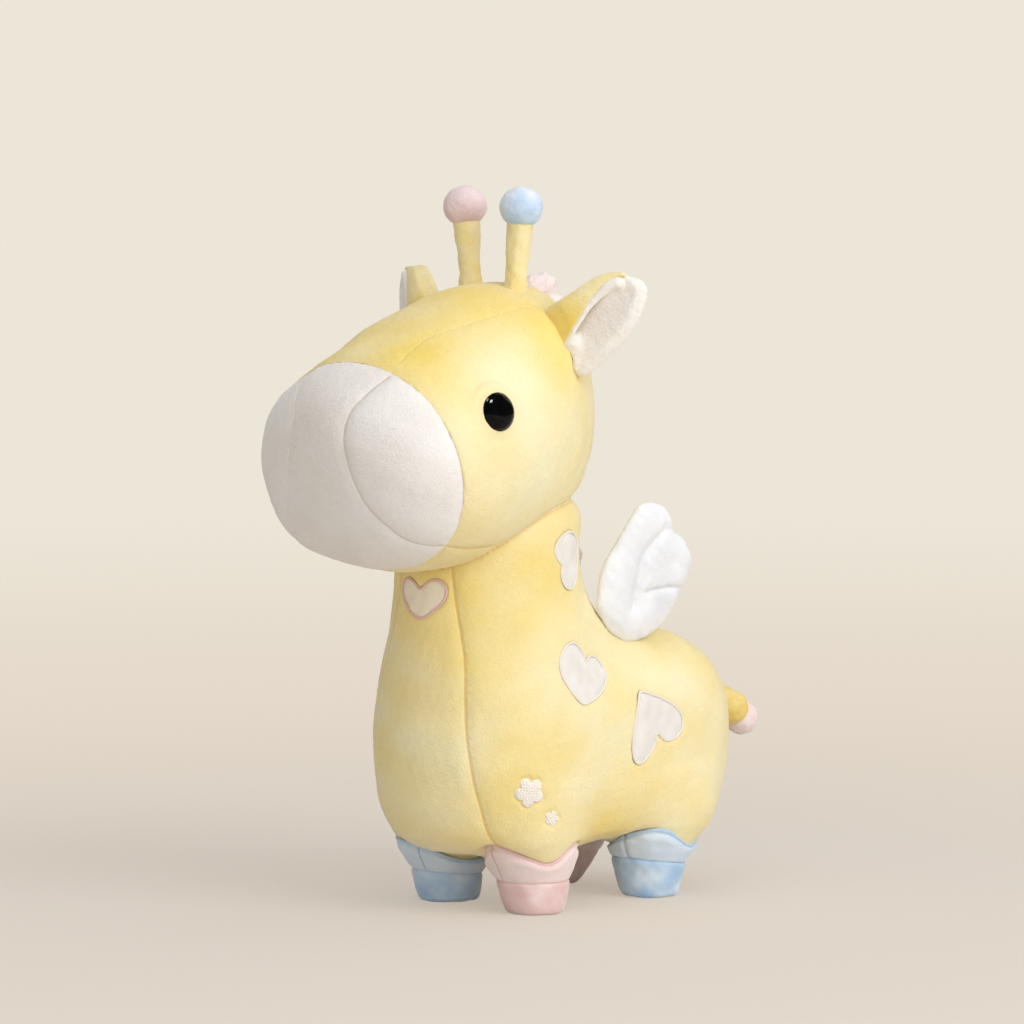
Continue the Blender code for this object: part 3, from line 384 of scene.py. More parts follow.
def piece(name, places, faces, finish, body, levels=0):
    """A finished piece that rides on a body of the frame."""
    mesh = bpy.data.meshes.new(name)
    mesh.from_pydata([tuple(p) for p in places], [], [tuple(int(i) for i in f) for f in faces])
    mesh.validate()
    made = bpy.data.objects.new(name, mesh)
    bpy.context.scene.collection.objects.link(made)
    if levels:
        refine(made, levels)
    made.data.shade_smooth()
    made.data.materials.append(finish.material)
    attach(made, body)
    return made


def refine(made, levels):
    """Subdivides a piece for good."""
    step = made.modifiers.new("refine", "SUBSURF")
    step.levels = step.render_levels = levels
    mesh = bpy.data.meshes.new_from_object(made.evaluated_get(bpy.context.evaluated_depsgraph_get()))
    made.modifiers.clear()
    made.data = mesh


def stands_for(made, slot, fill, *nodes):
    """The solids that a piece replaces, which it hides. What it is made of and how firmly it is stuffed, if
    it is, are not used.
    """
    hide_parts(*nodes)


def read_places(made):
    places = np.empty(len(made.data.vertices) * 3)
    made.data.vertices.foreach_get("co", places)
    return places.reshape(-1, 3)


def write_places(made, places):
    made.data.vertices.foreach_set("co", np.asarray(places, float).ravel())
    made.data.update()


def keep_measure(made, name, values):
    """Stores a number at each point of a mesh, for its material."""
    layer = made.data.attributes.new(name, "FLOAT", "POINT")
    layer.data.foreach_set("value", np.asarray(values, np.float32))


def line_distance(places, line):
    """How far places lie from a line of points."""
    line = np.asarray(line, float)
    nearest = np.full(len(places), 1.0)
    for start, end in zip(line, line[1:]):
        along = end - start
        share = np.clip(((places - start) @ along) / max(along @ along, 1e-12), 0, 1)
        nearest = np.minimum(nearest, np.linalg.norm(places - start - share[:, None] * along, axis=1))
    return nearest


def nearest_of(places, lines):
    return np.min([line_distance(places, line) for line in lines], axis=0)


def curve_through(points, steps):
    """A smooth run between the second and the last but one of the given points."""
    curve = []
    for before, start, end, after in zip(points, points[1:], points[2:], points[3:]):
        for k in range(steps):
            t = k / steps
            bend, twist = 2 * before - 5 * start + 4 * end - after, 3 * start - before - 3 * end + after
            curve.append(0.5 * (2 * start + (end - before) * t + bend * t ** 2 + twist * t ** 3))
    return curve


def smooth_line(points, steps=6):
    points = [np.array(p, float) for p in points]
    points = [2 * points[0] - points[1]] + points + [2 * points[-1] - points[-2]]
    return np.array(curve_through(points, steps) + [points[-2]])


def smooth_ring(points, steps=4):
    points = [np.array(p, float) for p in points]
    return np.array(curve_through(points[-1:] + points + points[:2], steps))


def cloud(places, size, seed, octaves=2, waves=7, strength=2.6):
    """Soft hills between -1 and 1 that are about size metres apart, the same in every run."""
    draws = np.random.default_rng(seed)
    total = np.zeros(len(places))
    weight = 0.0
    for octave in range(octaves):
        for _ in range(waves):
            direction = draws.normal(size=3)
            direction *= 2 ** octave * 2 * math.pi / size / np.linalg.norm(direction)
            total += np.sin(places @ direction + draws.uniform(0, 2 * math.pi)) / 2 ** octave
        weight += waves / 2 ** octave
    return total / weight * strength


# The head's form, which the neck's upper edge tucks into. It is rounder at the back than at the nose,
# wider and lower towards the nose, leans a little and sags.
HEAD_CENTRE = np.array((0.0, -0.0603, 0.2021))
HEAD_TILT = math.radians(14.6)
HEAD_HALF_LENGTH = 0.0735
HEAD_HALF_WIDTH = 0.0564
HEAD_HALF_HEIGHT = 0.0532
HEAD_FORWARD = np.array((0, -math.cos(HEAD_TILT), -math.sin(HEAD_TILT)))
HEAD_UP = np.array((0, -math.sin(HEAD_TILT), math.cos(HEAD_TILT)))
HEAD_SQUARENESS = 2.06
HEAD_ROUNDNESS = (3.14, 2.74)
HEAD_FULLNESS = (2.65, 2.13)
HEAD_WIDENING = 0.216
HEAD_LOWERING = 0.108
HEAD_LEAN = 0.0032
HEAD_SAG = 0.0043


def head_places(share, turn):
    """Places on the head: share runs from -1 at the back to 1 at the nose, turn from the left side up."""
    size = np.clip(np.abs(share), 0, 1)
    roundness, fullness = (np.where(share > 0, *pair) for pair in (HEAD_ROUNDNESS, HEAD_FULLNESS))
    scale = ((1 - size ** roundness) ** (1 / fullness))[:, None]
    across, rise = (np.sign(c) * np.abs(c) ** (2 / HEAD_SQUARENESS) for c in (np.cos(turn), np.sin(turn)))
    wide = (HEAD_HALF_WIDTH * (1 + HEAD_WIDENING * share))[:, None] * scale
    tall = (HEAD_HALF_HEIGHT * (1 - HEAD_LOWERING * share))[:, None] * scale
    along = (HEAD_HALF_LENGTH * share)[:, None] - HEAD_LEAN * rise[:, None] * scale
    lift = tall * rise[:, None] - (HEAD_SAG * share * (1 - share ** 2))[:, None]
    return HEAD_CENTRE + HEAD_FORWARD * along + HEAD_UP * lift + np.array((1, 0, 0)) * wide * across[:, None]


def head_shape(p):
    offset = p - HEAD_CENTRE
    share = offset @ HEAD_FORWARD / HEAD_HALF_LENGTH
    near = np.clip(share, -1, 1)
    rise = offset @ HEAD_UP + HEAD_SAG * share * (1 - near ** 2)
    wide = HEAD_HALF_WIDTH * (1 + HEAD_WIDENING * near)
    tall = HEAD_HALF_HEIGHT * (1 - HEAD_LOWERING * near)
    ring = np.abs(offset[:, 0] / wide) ** HEAD_SQUARENESS + np.abs(rise / tall) ** HEAD_SQUARENESS
    ring = ring ** (1 / HEAD_SQUARENESS)
    roundness, fullness = (np.where(share > 0, *pair) for pair in (HEAD_ROUNDNESS, HEAD_FULLNESS))
    return (ring ** fullness + np.abs(share) ** roundness) ** (1 / fullness)


def head_distance(p):
    return distance_to(head_shape, p)


# How brushed patches and fine pile shade the colour and raise the surface, and how a seam does
BRUSH_SIZE = 0.006
BRUSH_SPAN = (0.35, 0.7)
BRUSH_SHADE = 0.035
BRUSH_RISE = 0.2
FINE_SPAN = (0.3, 0.7)
FINE_SHADE = 0.05
COARSE_SIZE = 3.2
COARSE_RISE = 0.4
PILE_RISE = 0.30
SEAM_LINE = (0.0001, 0.00065)
SEAM_DIP = (0.0, 0.0014)
SEAM_SHADE = 0.5
SEAM_DEPTH = 1.2


def plush(name, pale, deep, pile=0.0009, sheen=0.35, seams=True, seam_colour=None, nap=0.5):
    """Short pile: cloudy dye with painted shade and light, brushed patches, a soft rim of light, and stitched
    valleys.
    """
    finish = Finish(name, Roughness=0.95, Specular_IOR_Level=0.25, Sheen_Weight=sheen, Sheen_Roughness=0.45,
                    Sheen_Tint=(1.0, 0.98, 0.93))
    brushed = finish.noise(BRUSH_SIZE, 3.0, 0.6).step(*BRUSH_SPAN)
    fine = finish.noise(pile, 2.0, 0.7)
    shade = 1 - (1 - brushed) * (BRUSH_SHADE * nap) - (1 - fine.step(*FINE_SPAN)) * FINE_SHADE
    # The mesh's measure of dye and painted shade mixes the pale and deep colours.
    shaded = finish.add("ShaderNodeVectorMath", {"operation": "SCALE"},
                        {0: finish.mix(finish.measure("dye_and_shade"), pale, deep), "Scale": shade})
    height = fine + finish.noise(pile * COARSE_SIZE, 2.0, 0.6) * COARSE_RISE + brushed * BRUSH_RISE
    if seams:
        seam = finish.measure("seam")
        shaded = finish.mix((1 - seam.step(*SEAM_LINE)) * SEAM_SHADE, shaded, seam_colour or deep)
        height = height - (1 - seam.step(*SEAM_DIP)) * SEAM_DEPTH
    finish.feed("Base Color", shaded)
    finish.bump(height, pile * PILE_RISE)
    return finish


def spots_depth(places, spots):
    """A soft spot for each (place, radius, height)."""
    return sum(height * np.exp(-(np.linalg.norm(places - np.array(spot), axis=1) / radius) ** 2)
               for spot, radius, height in spots)


def dye_and_shade_clouds(places, seed, size=0.05, base=0.42, spread=0.5, dye_and_shade_spots=()):
    """How deep the colour is: dye clouds, plus soft spots, several of which are painted shade and light."""
    return np.clip(base + spread * 0.5 * cloud(places, size, seed, 3) + spots_depth(places, dye_and_shade_spots), 0, 1)


YELLOW_PALE = srgb(251, 243, 209)
YELLOW_DEEP = srgb(245, 215, 110)
yellow_plush = plush("yellow_plush", YELLOW_PALE, YELLOW_DEEP, seam_colour=srgb(222, 166, 62))
CHEST_SEAM = ((15, 156), (15.5, 148), (16.2, 141), (17.8, 131), (21.2, 118), (24.1, 107), (26, 94),
              (27.4, 83), (28.8, 72), (30.2, 59), (31.2, 46), (30.2, 34), (29, 24))
BACK_SEAM = ((8, 150), (10, 130), (22, 118), (45, 116), (70, 105), (86, 88), (89, 70), (80, 45), (60, 26),
             (20, 24), (-30, 24), (-60, 30))
# Spots of deeper yellow: the two under the head, on the front and the side of the neck, are painted shade;
# the others lie along the near chest seam, at the foot of the neck's back and low on the near side.
BODY_DYE_AND_SHADE = (
    ((0.010, -0.076, 0.138), 0.030, 0.35), ((0.040, -0.030, 0.150), 0.024, 0.25),
    ((0.030, -0.070, 0.060), 0.022, 0.18), ((0.000, 0.030, 0.118), 0.030, 0.30),
    ((0.044, -0.010, 0.036), 0.020, 0.25), ((0.030, -0.060, 0.100), 0.022, 0.15),
)
BODY_LOW, BODY_HIGH = (-0.060, -0.096, 0.008), (0.060, 0.100, 0.180)
NECK_TURN_IN = -0.004
LEG_TURN_IN = 0.0165
CHEST_FRONT = -0.075
CHEST_STRIDE = 0.01
# The cuffs' hems, which press into the plush: (turn around the leg in degrees, height in millimetres)
HIND_HEM = ((-125, 22.5), (-104, 24.6), (-81, 29), (-70, 29.7), (-55, 31.1), (-39, 31.7), (-24, 30.3),
            (-11, 26.9), (6, 23.2), (18, 22.8), (44, 23.7), (62, 27), (80, 29), (100, 29), (120, 26),
            (150, 23), (180, 22), (-150, 22))
HEMS = {
    "front_left": ((-134, 21.5), (-115, 26.5), (-102, 31), (-93, 31.9), (-73, 29.5), (-51, 26.7), (-35, 24.2),
                   (-21, 22.5), (-4, 24.1), (7, 27.6), (17, 30.6), (30, 31), (45, 29), (65, 25), (90, 22.5),
                   (130, 22), (180, 22.5), (-155, 22.5)),
    "front_right": ((-133, 26.9), (-87, 26.6), (-60, 24.2), (-38, 20.5), (-20, 19.1), (1, 18.5), (25, 19.5),
                    (50, 21.5), (90, 22.5), (130, 24), (165, 27), (-160, 28)),
    "hind_left": HIND_HEM,
    "hind_right": tuple((180 - turn, height) for turn, height in HIND_HEM),
}
HEM_BLUR = 7
HEM_BLUR_REACH = 30
HEM_SIGHT_SLOPE = 0.14
HEM_LIFT_SPAN = (0.0025, 0.0085)
HEM_SOFTNESS = 0.0008
HEM_EDGE = (0.0008, 0.0010)
HEM_TUCK_SPAN = 0.0020
CUFF_FOOT_RADIUS = (0.0128, 0.0156)
CUFF_TOP_RADIUS = (0.0257, 0.0193)
CUFF_TUCK = 0.0022
CUFF_REACH = 0.032
CUFF_WAY = np.array((math.cos(math.radians(45.8)), math.sin(math.radians(45.8))))
CUFF_LEAN = {"front_left": -0.0016, "front_right": -0.0010, "hind_left": 0.0016, "hind_right": 0.0}
BELLY_TUCK = (0.0030, 0.020, 0.034)
# Where the stuffing stands out: (place, radius, height), the same on both sides
BODY_SWELLINGS = (((0.0270, 0.0020, 0.1180), 0.013, 0.0045), ((0.0408, 0.0502, 0.0365), 0.0145, 0.0044),
                  ((0.0405, -0.0500, 0.0310), 0.012, 0.0026), ((0.0280, -0.0060, 0.1500), 0.015, -0.0024))
SEAM_BAND = 0.0026
SEAM_CUTS = 2
VALLEY_WIDTH = 0.0028
VALLEY_DEPTH = 0.0007
NECK_VALLEY_WIDTH = 0.0040
PILE_HILLS = ((0.030, 0.00035), (0.0045, 0.00009))


def swelling(places, spots):
    """How far stuffing pushes a cover out at given spots and at their mirror images."""
    return spots_depth(places, [(np.array(spot) * (side, 1, 1), radius, height)
                                for spot, radius, height in spots for side in (1, -1)])


def hem_height(name, turn):
    """The height of a cuff's wavy hem at turns around its leg."""
    turns, heights = np.array(HEMS[name], float).T
    even = np.interp(np.arange(-HEM_BLUR_REACH, 361 + HEM_BLUR_REACH), turns, heights / 1000, period=360)
    blur = np.exp(-(np.arange(-HEM_BLUR_REACH, HEM_BLUR_REACH + 1) / HEM_BLUR) ** 2)
    return np.interp(np.degrees(turn) % 360, np.arange(361), np.convolve(even, blur / blur.sum(), "valid"))


def cuff_outside(height):
    (low, low_radius), (high, high_radius) = CUFF_FOOT_RADIUS, CUFF_TOP_RADIUS
    return low_radius + (high_radius - low_radius) * (height - low) / (high - low)


def gathered(places):
    """Tucks the plush into the cuffs, and lifts it clear of their hems outside them."""
    places = places.copy()
    lift, half_length, top = BELLY_TUCK
    low = ease((top - places[:, 2]) / (top - BELLY_HEIGHT))
    places[:, 2] += lift * np.exp(-(places[:, 1] / half_length) ** 2) * low
    for name, spot in zip(LEG_NAMES, LEG_PLACES):
        flat = places[:, :2] - np.array(spot) - CUFF_WAY * CUFF_LEAN[name]
        reach = np.hypot(flat[:, 0], flat[:, 1])
        near = reach < CUFF_REACH
        own, flat, reach = places[near], flat[near], reach[near]
        hem = hem_height(name, np.arctan2(flat[:, 1], flat[:, 0]))
        gap = reach - cuff_outside(own[:, 2])
        outer = ease((gap + HEM_EDGE[0]) / HEM_EDGE[1])
        need = (hem + HEM_SIGHT_SLOPE * np.clip(gap, 0, None) - own[:, 2]) / HEM_SOFTNESS
        lift = HEM_SOFTNESS * np.log1p(np.exp(np.clip(need, -30, 30)))
        lift = lift * outer * (1 - ease((gap - HEM_LIFT_SPAN[0]) / (HEM_LIFT_SPAN[1] - HEM_LIFT_SPAN[0])))
        tuck = np.clip(gap + CUFF_TUCK, 0, None) * (1 - outer) * ease((hem - own[:, 2]) / HEM_TUCK_SPAN)
        own[:, :2] -= flat / np.maximum(reach, 1e-6)[:, None] * tuck[:, None]
        own[:, 2] += lift
        places[near] = own
    return places


@contextmanager
def net_of(made):
    """A piece's mesh, open for changes."""
    net = bmesh.new()
    net.from_mesh(made.data)
    yield net
    net.to_mesh(made.data)
    net.free()


def refine_near(made, lines):
    """Makes the mesh finer along stitched lines, so that they come out crisp."""
    near = nearest_of(read_places(made), lines) < SEAM_BAND
    with net_of(made) as net:
        net.verts.ensure_lookup_table()
        edges = [e for e in net.edges if near[e.verts[0].index] and near[e.verts[1].index]]
        bmesh.ops.subdivide_edges(net, edges=edges, cuts=SEAM_CUTS, use_grid_fill=True)
    made.data.shade_smooth()


def valley(distance, width=VALLEY_WIDTH, depth=VALLEY_DEPTH):
    """How deep a soft groove is at a distance from its line; the cuffs' painted hem shade falls off alike."""
    return depth * np.exp(-(distance / width) ** 2)


def hills(places, seed, sizes=PILE_HILLS):
    """The unevenness of stuffing and pile."""
    return sum(height * cloud(places, size, seed + i, 2) for i, (size, height) in enumerate(sizes))


def chest_seam_line(side):
    flat = smooth_line(mm(CHEST_SEAM))
    guess = np.stack([flat[:, 0] * side, np.full(len(flat), CHEST_FRONT), flat[:, 1]], -1)
    for _ in range(12):
        guess[:, 1] += np.clip(body_distance(guess), -CHEST_STRIDE, CHEST_STRIDE)
    return guess


body_places, body_faces = skin_net(body_distance, BODY_LOW, BODY_HIGH, BODY_STEP)
body_hidden = (head_distance(body_places) < NECK_TURN_IN) | (body_places[:, 2] < LEG_TURN_IN)
body_faces = body_faces[~body_hidden[body_faces].all(axis=1)]
body_used = np.unique(body_faces)
body_number = np.full(len(body_places), -1)
body_number[body_used] = np.arange(len(body_used))
body_cover = piece("body_cover", body_places[body_used], body_number[body_faces], yellow_plush, "trunk",
                   levels=1)
back_line = smooth_line(mm(BACK_SEAM))
back_seam = onto(body_distance, np.column_stack([np.zeros(len(back_line)), back_line]), 6)
body_seams = [chest_seam_line(1), chest_seam_line(-1), back_seam]
refine_near(body_cover, body_seams)
fine_places = onto(body_distance, read_places(body_cover))
body_seam = nearest_of(fine_places, body_seams)
neck_seam = np.abs(head_distance(fine_places))
body_rise = hills(fine_places, 3) - valley(body_seam) - valley(neck_seam, NECK_VALLEY_WIDTH)
body_rise = body_rise + swelling(fine_places, BODY_SWELLINGS)
body_surface = gathered(fine_places + outward(body_distance, fine_places) * body_rise[:, None])
write_places(body_cover, body_surface)
keep_measure(body_cover, "seam", np.minimum(body_seam, neck_seam))
keep_measure(body_cover, "dye_and_shade", dye_and_shade_clouds(fine_places, 11, 0.05, 0.40, 0.42, BODY_DYE_AND_SHADE))
stands_for(body_cover, "yellow_plush", 0.85, "chest_cover", "hindquarters_cover", "leg_front_left",
           "leg_front_right", "leg_hind_left", "leg_hind_right")


# Head cover
# The round yellow head is one stuffed ball of plush panels, sewn to the muzzle along a tilted oval
# and to the neck below; two seams run over the forehead from the muzzle to the ears.
HEAD_GRID = 40
HEAD_RINGS = 46
REAR_CAP_SHARE = -0.62
MUZZLE_SHARE = 0.64
MUZZLE_RING_POINTS = 241
HEAD_TURN_IN = 0.0035
SEWN_REACH = 0.002
SKIN_SAMPLES = 3000
CAP_SAMPLES = 200
FOREHEAD_SEAM = ((23.2, -108.6, 233), (22.1, -98, 240), (21.9, -90, 244), (25.4, -77, 247), (28, -62, 251),
                 (29.5, -47, 253), (29.2, -34, 253.5))
CHIN_SEAM = ((41.1, -100, 158), (40.6, -85, 157), (36.5, -69, 157), (33, -58, 156))
# Spots of deeper and paler yellow: the one low on the near side at the chin seam is painted shade under the
# head; the others deepen the crown, the forehead, the ears' roots and the back, and pale the cheeks.
HEAD_DYE_AND_SHADE = (
    ((0.000, -0.060, 0.262), 0.040, 0.42), ((0.022, -0.098, 0.240), 0.020, 0.34),
    ((0.040, -0.040, 0.245), 0.022, 0.32), ((0.056, -0.070, 0.200), 0.034, -0.26),
    ((0.030, -0.080, 0.158), 0.024, 0.30), ((0.048, -0.098, 0.225), 0.016, 0.2),
    ((-0.022, -0.098, 0.240), 0.020, 0.45), ((-0.040, -0.040, 0.245), 0.022, 0.40),
    ((-0.056, -0.070, 0.200), 0.034, -0.45), ((0.000, 0.000, 0.200), 0.030, 0.25),
)
EYE_PLACE = (0.280, math.radians(20.0))
EYE_FACING = (math.radians(9), math.radians(-4.5))
EYE_SEAT = (0.0080, 0.0070)
# Where the stuffing stands out or the cover is drawn in: at the ears, the crown and the back, on both sides
HEAD_SWELLINGS = (((0.0405, -0.0330, 0.2410), 0.019, 0.0040), ((0.0120, -0.0160, 0.2580), 0.016, 0.0024),
                  ((0.0310, -0.0020, 0.2040), 0.024, -0.0024))
# A hand-stuffed muzzle is never quite even: its right cheek sags, and its right brow is drawn in
CHEEK_SWELLINGS = (((-0.0330, -0.1130, 0.1580), 0.017, 0.0029), ((-0.0330, -0.0990, 0.2330), 0.014, -0.0024))
EYE_DENT = 0.0008
EYE_RING = (0.0088, 0.0022)
QUIET_SEAM = 0.0006
QUIET_SHARE = 0.3


def run_along(line):
    """How far along a line each of its points lies."""
    return np.concatenate([[0], np.cumsum(np.linalg.norm(np.diff(line, axis=0), axis=1))])


def points_at(where, line):
    """The points of a line at given distances along it."""
    return np.stack([np.interp(where, run_along(line), line[:, i]) for i in range(3)], -1)


def even_shares(start, end, count):
    """Shares along the head that are evenly spaced on its skin."""
    fine = np.sin(np.linspace(math.asin(start), math.asin(end), SKIN_SAMPLES))
    run = run_along(head_places(fine, np.zeros(SKIN_SAMPLES)))
    return np.interp(np.linspace(0, run[-1], count + 1), run, fine)


def disc_grid(count):
    """A square grid pressed into a round disc: (reach from the middle, turn), and its faces."""
    line = np.linspace(-1, 1, count + 1)
    a, b = (side.ravel() for side in np.meshgrid(line, line, indexing="ij"))
    reach = np.maximum(np.abs(a), np.abs(b))
    flat = np.abs(a) >= np.abs(b)
    share = np.where(flat, b, a) / np.where(flat, np.where(a == 0, 1, a), np.where(b == 0, 1, b))
    turn = np.where(flat, share * math.pi / 4 + np.where(a < 0, math.pi, 0),
                    math.pi / 2 - share * math.pi / 4 + np.where(b < 0, math.pi, 0))
    corner = np.arange(count * (count + 1)).reshape(count, count + 1)[:, :-1].ravel()
    faces = np.stack([corner, corner + count + 1, corner + count + 2, corner + 1], -1)
    return reach, turn, faces


def ring_faces(rows, sides):
    """Faces that join each ring of corners to the next."""
    first = (np.arange(rows)[:, None] * sides + np.arange(sides)).ravel()
    second = (np.arange(rows)[:, None] * sides + (np.arange(sides) + 1) % sides).ravel()
    return np.stack([first, second, second + sides, first + sides], -1)


def weld(made, reach=1e-6):
    """Joins the corners that meet."""
    with net_of(made) as net:
        bmesh.ops.remove_doubles(net, verts=net.verts, dist=reach)
        bmesh.ops.recalc_face_normals(net, faces=net.faces)


def head_cap(start, pole):
    """The end of the head from a ring to its pole, as an even grid."""
    reach, turn, faces = disc_grid(HEAD_GRID)
    shares = even_shares(start, pole, CAP_SAMPLES)
    share = np.interp(1 - reach, np.linspace(0, 1, CAP_SAMPLES + 1), shares)
    return head_places(share, turn), faces if pole > 0 else faces[:, ::-1]


def even_turns(count):
    return 2 * math.pi * np.arange(count) / count


def head_tube(start, end, rings, sides=4 * HEAD_GRID):
    shares = even_shares(start, end, rings)
    places = head_places(np.repeat(shares, sides), np.tile(even_turns(sides), rings + 1))
    return places, ring_faces(rings, sides)


def turn_in(made):
    """Folds a cover's open edge at the muzzle inwards, where it is sewn."""
    near = line_distance(read_places(made), muzzle_ring) < SEWN_REACH
    with net_of(made) as net:
        edges = [e for e in net.edges if e.is_boundary and all(near[v.index] for v in e.verts)]
        folded = bmesh.ops.extrude_edge_only(net, edges=edges)["geom"]
        folded = [v for v in folded if isinstance(v, bmesh.types.BMVert)]
        outs = outward(head_distance, np.array([v.co[:] for v in folded]))
        for v, out in zip(folded, outs):
            v.co -= Vector(out) * HEAD_TURN_IN


def hide_inside(made, distance, depth):
    """Removes the faces that lie well inside another form."""
    hidden = distance(read_places(made)) < depth
    with net_of(made) as net:
        inner = [f for f in net.faces if all(hidden[v.index] for v in f.verts)]
        bmesh.ops.delete(net, geom=inner, context="FACES")


def seams_on_head(table):
    """A seam of the left side and its mirror image, as lines on the head."""
    return [onto(head_distance, smooth_line(mm(table)) * np.array((side, 1, 1)), 4) for side in (1, -1)]


def head_swelling(places):
    """Stuffing that stands proud at the ears, and the flat seats that the eyes' shanks pull in."""
    outs = outward(head_distance, places)
    rise = swelling(places, HEAD_SWELLINGS) + spots_depth(places, CHEEK_SWELLINGS)
    for eye_spot, facing in zip(eye_spots, eye_ways):
        near = 1 - ease((np.linalg.norm(places - eye_spot, axis=1) - EYE_SEAT[0]) / EYE_SEAT[1])
        rise = rise + near * ((eye_spot - places) @ facing) / np.maximum(outs @ facing, 0.5)
    return rise


def dress_head(made, seams, quiet_seams, seed, dye_and_shade_spots, base, spread):
    """Presses the seams in, makes the stuffing a little uneven and keeps the dye with its painted shade and
    light.
    """
    refine_near(made, seams + quiet_seams)
    places = onto(head_distance, read_places(made))
    seam, quiet = nearest_of(places, seams), nearest_of(places, quiet_seams)
    neck = np.abs(body_distance(places))
    eye = np.min([np.linalg.norm(places - spot, axis=1) for spot in eye_spots], axis=0)
    rise = hills(places, seed) - valley(seam) - valley(quiet) * QUIET_SHARE - valley(neck, NECK_VALLEY_WIDTH)
    rise = rise - EYE_DENT * np.exp(-((eye - EYE_RING[0]) / EYE_RING[1]) ** 2) + head_swelling(places)
    write_places(made, places + outward(head_distance, places) * rise[:, None])
    keep_measure(made, "seam", np.minimum(np.minimum(seam, neck), quiet + QUIET_SEAM))
    keep_measure(made, "dye_and_shade", dye_and_shade_clouds(places, seed, 0.05, base, spread, dye_and_shade_spots))


tube_places, tube_faces = head_tube(MUZZLE_SHARE, REAR_CAP_SHARE, HEAD_RINGS)
cap_places, cap_faces = head_cap(REAR_CAP_SHARE, -1)
head_cover = piece("head_cover_plush", np.concatenate([tube_places, cap_places]),
                   np.concatenate([tube_faces, cap_faces + len(tube_places)]), yellow_plush, "trunk")
weld(head_cover)
refine(head_cover, 1)
head_cover.data.shade_smooth()
muzzle_ring = head_places(np.full(MUZZLE_RING_POINTS, MUZZLE_SHARE),
                          np.linspace(0, 2 * math.pi, MUZZLE_RING_POINTS))
eye_spots = head_places(np.full(2, EYE_PLACE[0]), np.array((EYE_PLACE[1], math.pi - EYE_PLACE[1])))
eye_lift, eye_turn = EYE_FACING
eye_ways = [np.array((side * math.cos(eye_lift) * math.cos(eye_turn), math.cos(eye_lift) * math.sin(eye_turn),
                      math.sin(eye_lift))) for side in (1, -1)]
dress_head(head_cover, [muzzle_ring] + seams_on_head(CHIN_SEAM), seams_on_head(FOREHEAD_SEAM), 21,
           HEAD_DYE_AND_SHADE, 0.42, 0.36)
hide_inside(head_cover, body_distance, NECK_TURN_IN)
turn_in(head_cover)
stands_for(head_cover, "yellow_plush", 0.9, "head_cover")


# Muzzle cover
# A cream cup of velvety plush closes the front of the head. Two curved seams split it into a
# middle panel and two cheeks.
MUZZLE_SEAM = ((23.8, -115, 228), (19.8, -124, 220), (16.3, -129.5, 212), (16, -132, 201),
               (18.5, -131.6, 189), (22.8, -128.6, 177), (29.3, -122.6, 167), (33.5, -115, 160.5),
               (38.3, -106, 158), (41.1, -100, 158))
# Deeper cream on the muzzle's front and underside is painted shade, and the paler patch on its near cheek is
# painted light.
MUZZLE_PAINTED_LIGHT_AND_SHADE = (((0.0, -0.130, 0.200), 0.030, 0.25), ((0.030, -0.120, 0.180), 0.026, -0.2),
                 ((0.010, -0.120, 0.150), 0.022, 0.3))
cream_plush = plush("cream_plush", srgb(250, 246, 242), srgb(232, 222, 212), seam_colour=srgb(196, 168, 138))
muzzle_cover = piece("muzzle_cover_plush", *head_cap(MUZZLE_SHARE, 1), cream_plush, "trunk", levels=1)
left_seam, right_seam = seams_on_head(MUZZLE_SEAM)
dress_head(muzzle_cover, [muzzle_ring, left_seam], [right_seam], 31, MUZZLE_PAINTED_LIGHT_AND_SHADE, 0.35, 0.4)
turn_in(muzzle_cover)
stands_for(muzzle_cover, "cream_plush", 0.9, "muzzle_cover")


# Safety eyes
# Two black domes of polished plastic with a thin rim, each on a shank through the cover.
EYE_SINK = 0.0012
EYE_PROFILE = ((0, 5), (1.4, 4.94), (2.8, 4.74), (4.1, 4.4), (5.3, 3.8), (6.3, 3.1), (7, 2.4), (7.4, 1.8),
               (7.55, 1.4), (7.9, 1.3), (8, 1), (8, 0.2), (7.4, -0.6))
EYE_SIDES = 64
EYE_POINT = 1e-5
EYE_WELD = 0.00003
SIDES = (("left", 1), ("right", -1))


def lathe(profile, spot, axis, sides):
    """Rings of a (reach, height) profile around an axis, from its tip to its foot."""
    axis = Vector(axis).normalized()
    right = axis.orthogonal().normalized()
    up = axis.cross(right)
    turns = even_turns(sides)
    ring = np.cos(turns)[:, None] * np.array(right) + np.sin(turns)[:, None] * np.array(up)
    places = [np.array(spot) + np.array(axis) * height + ring * max(reach, EYE_POINT)
              for reach, height in profile]
    return np.concatenate(places), ring_faces(len(profile) - 1, sides)[:, [0, 3, 2, 1]]


eye_plastic = Finish("eye_plastic", Specular_IOR_Level=0.13, IOR=1.49)
eye_wear = eye_plastic.noise(0.004, 3.0)
eye_plastic.feed("Base Color", eye_plastic.mix(eye_wear, (0.0015, 0.0015, 0.0015), (0.003, 0.003, 0.003)))
eye_plastic.feed("Roughness", 0.07 + eye_wear * 0.05)
for (side_name, side), spot, out in zip(SIDES, eye_spots, eye_ways):
    eye = piece("eye_dome_" + side_name, *lathe(mm(EYE_PROFILE), spot - out * EYE_SINK, out, EYE_SIDES),
                eye_plastic, "trunk")
    weld(eye, EYE_WELD)
    refine(eye, 1)
    eye.data.shade_smooth()
    stands_for(eye, "eye_plastic", None, "eye_" + side_name)


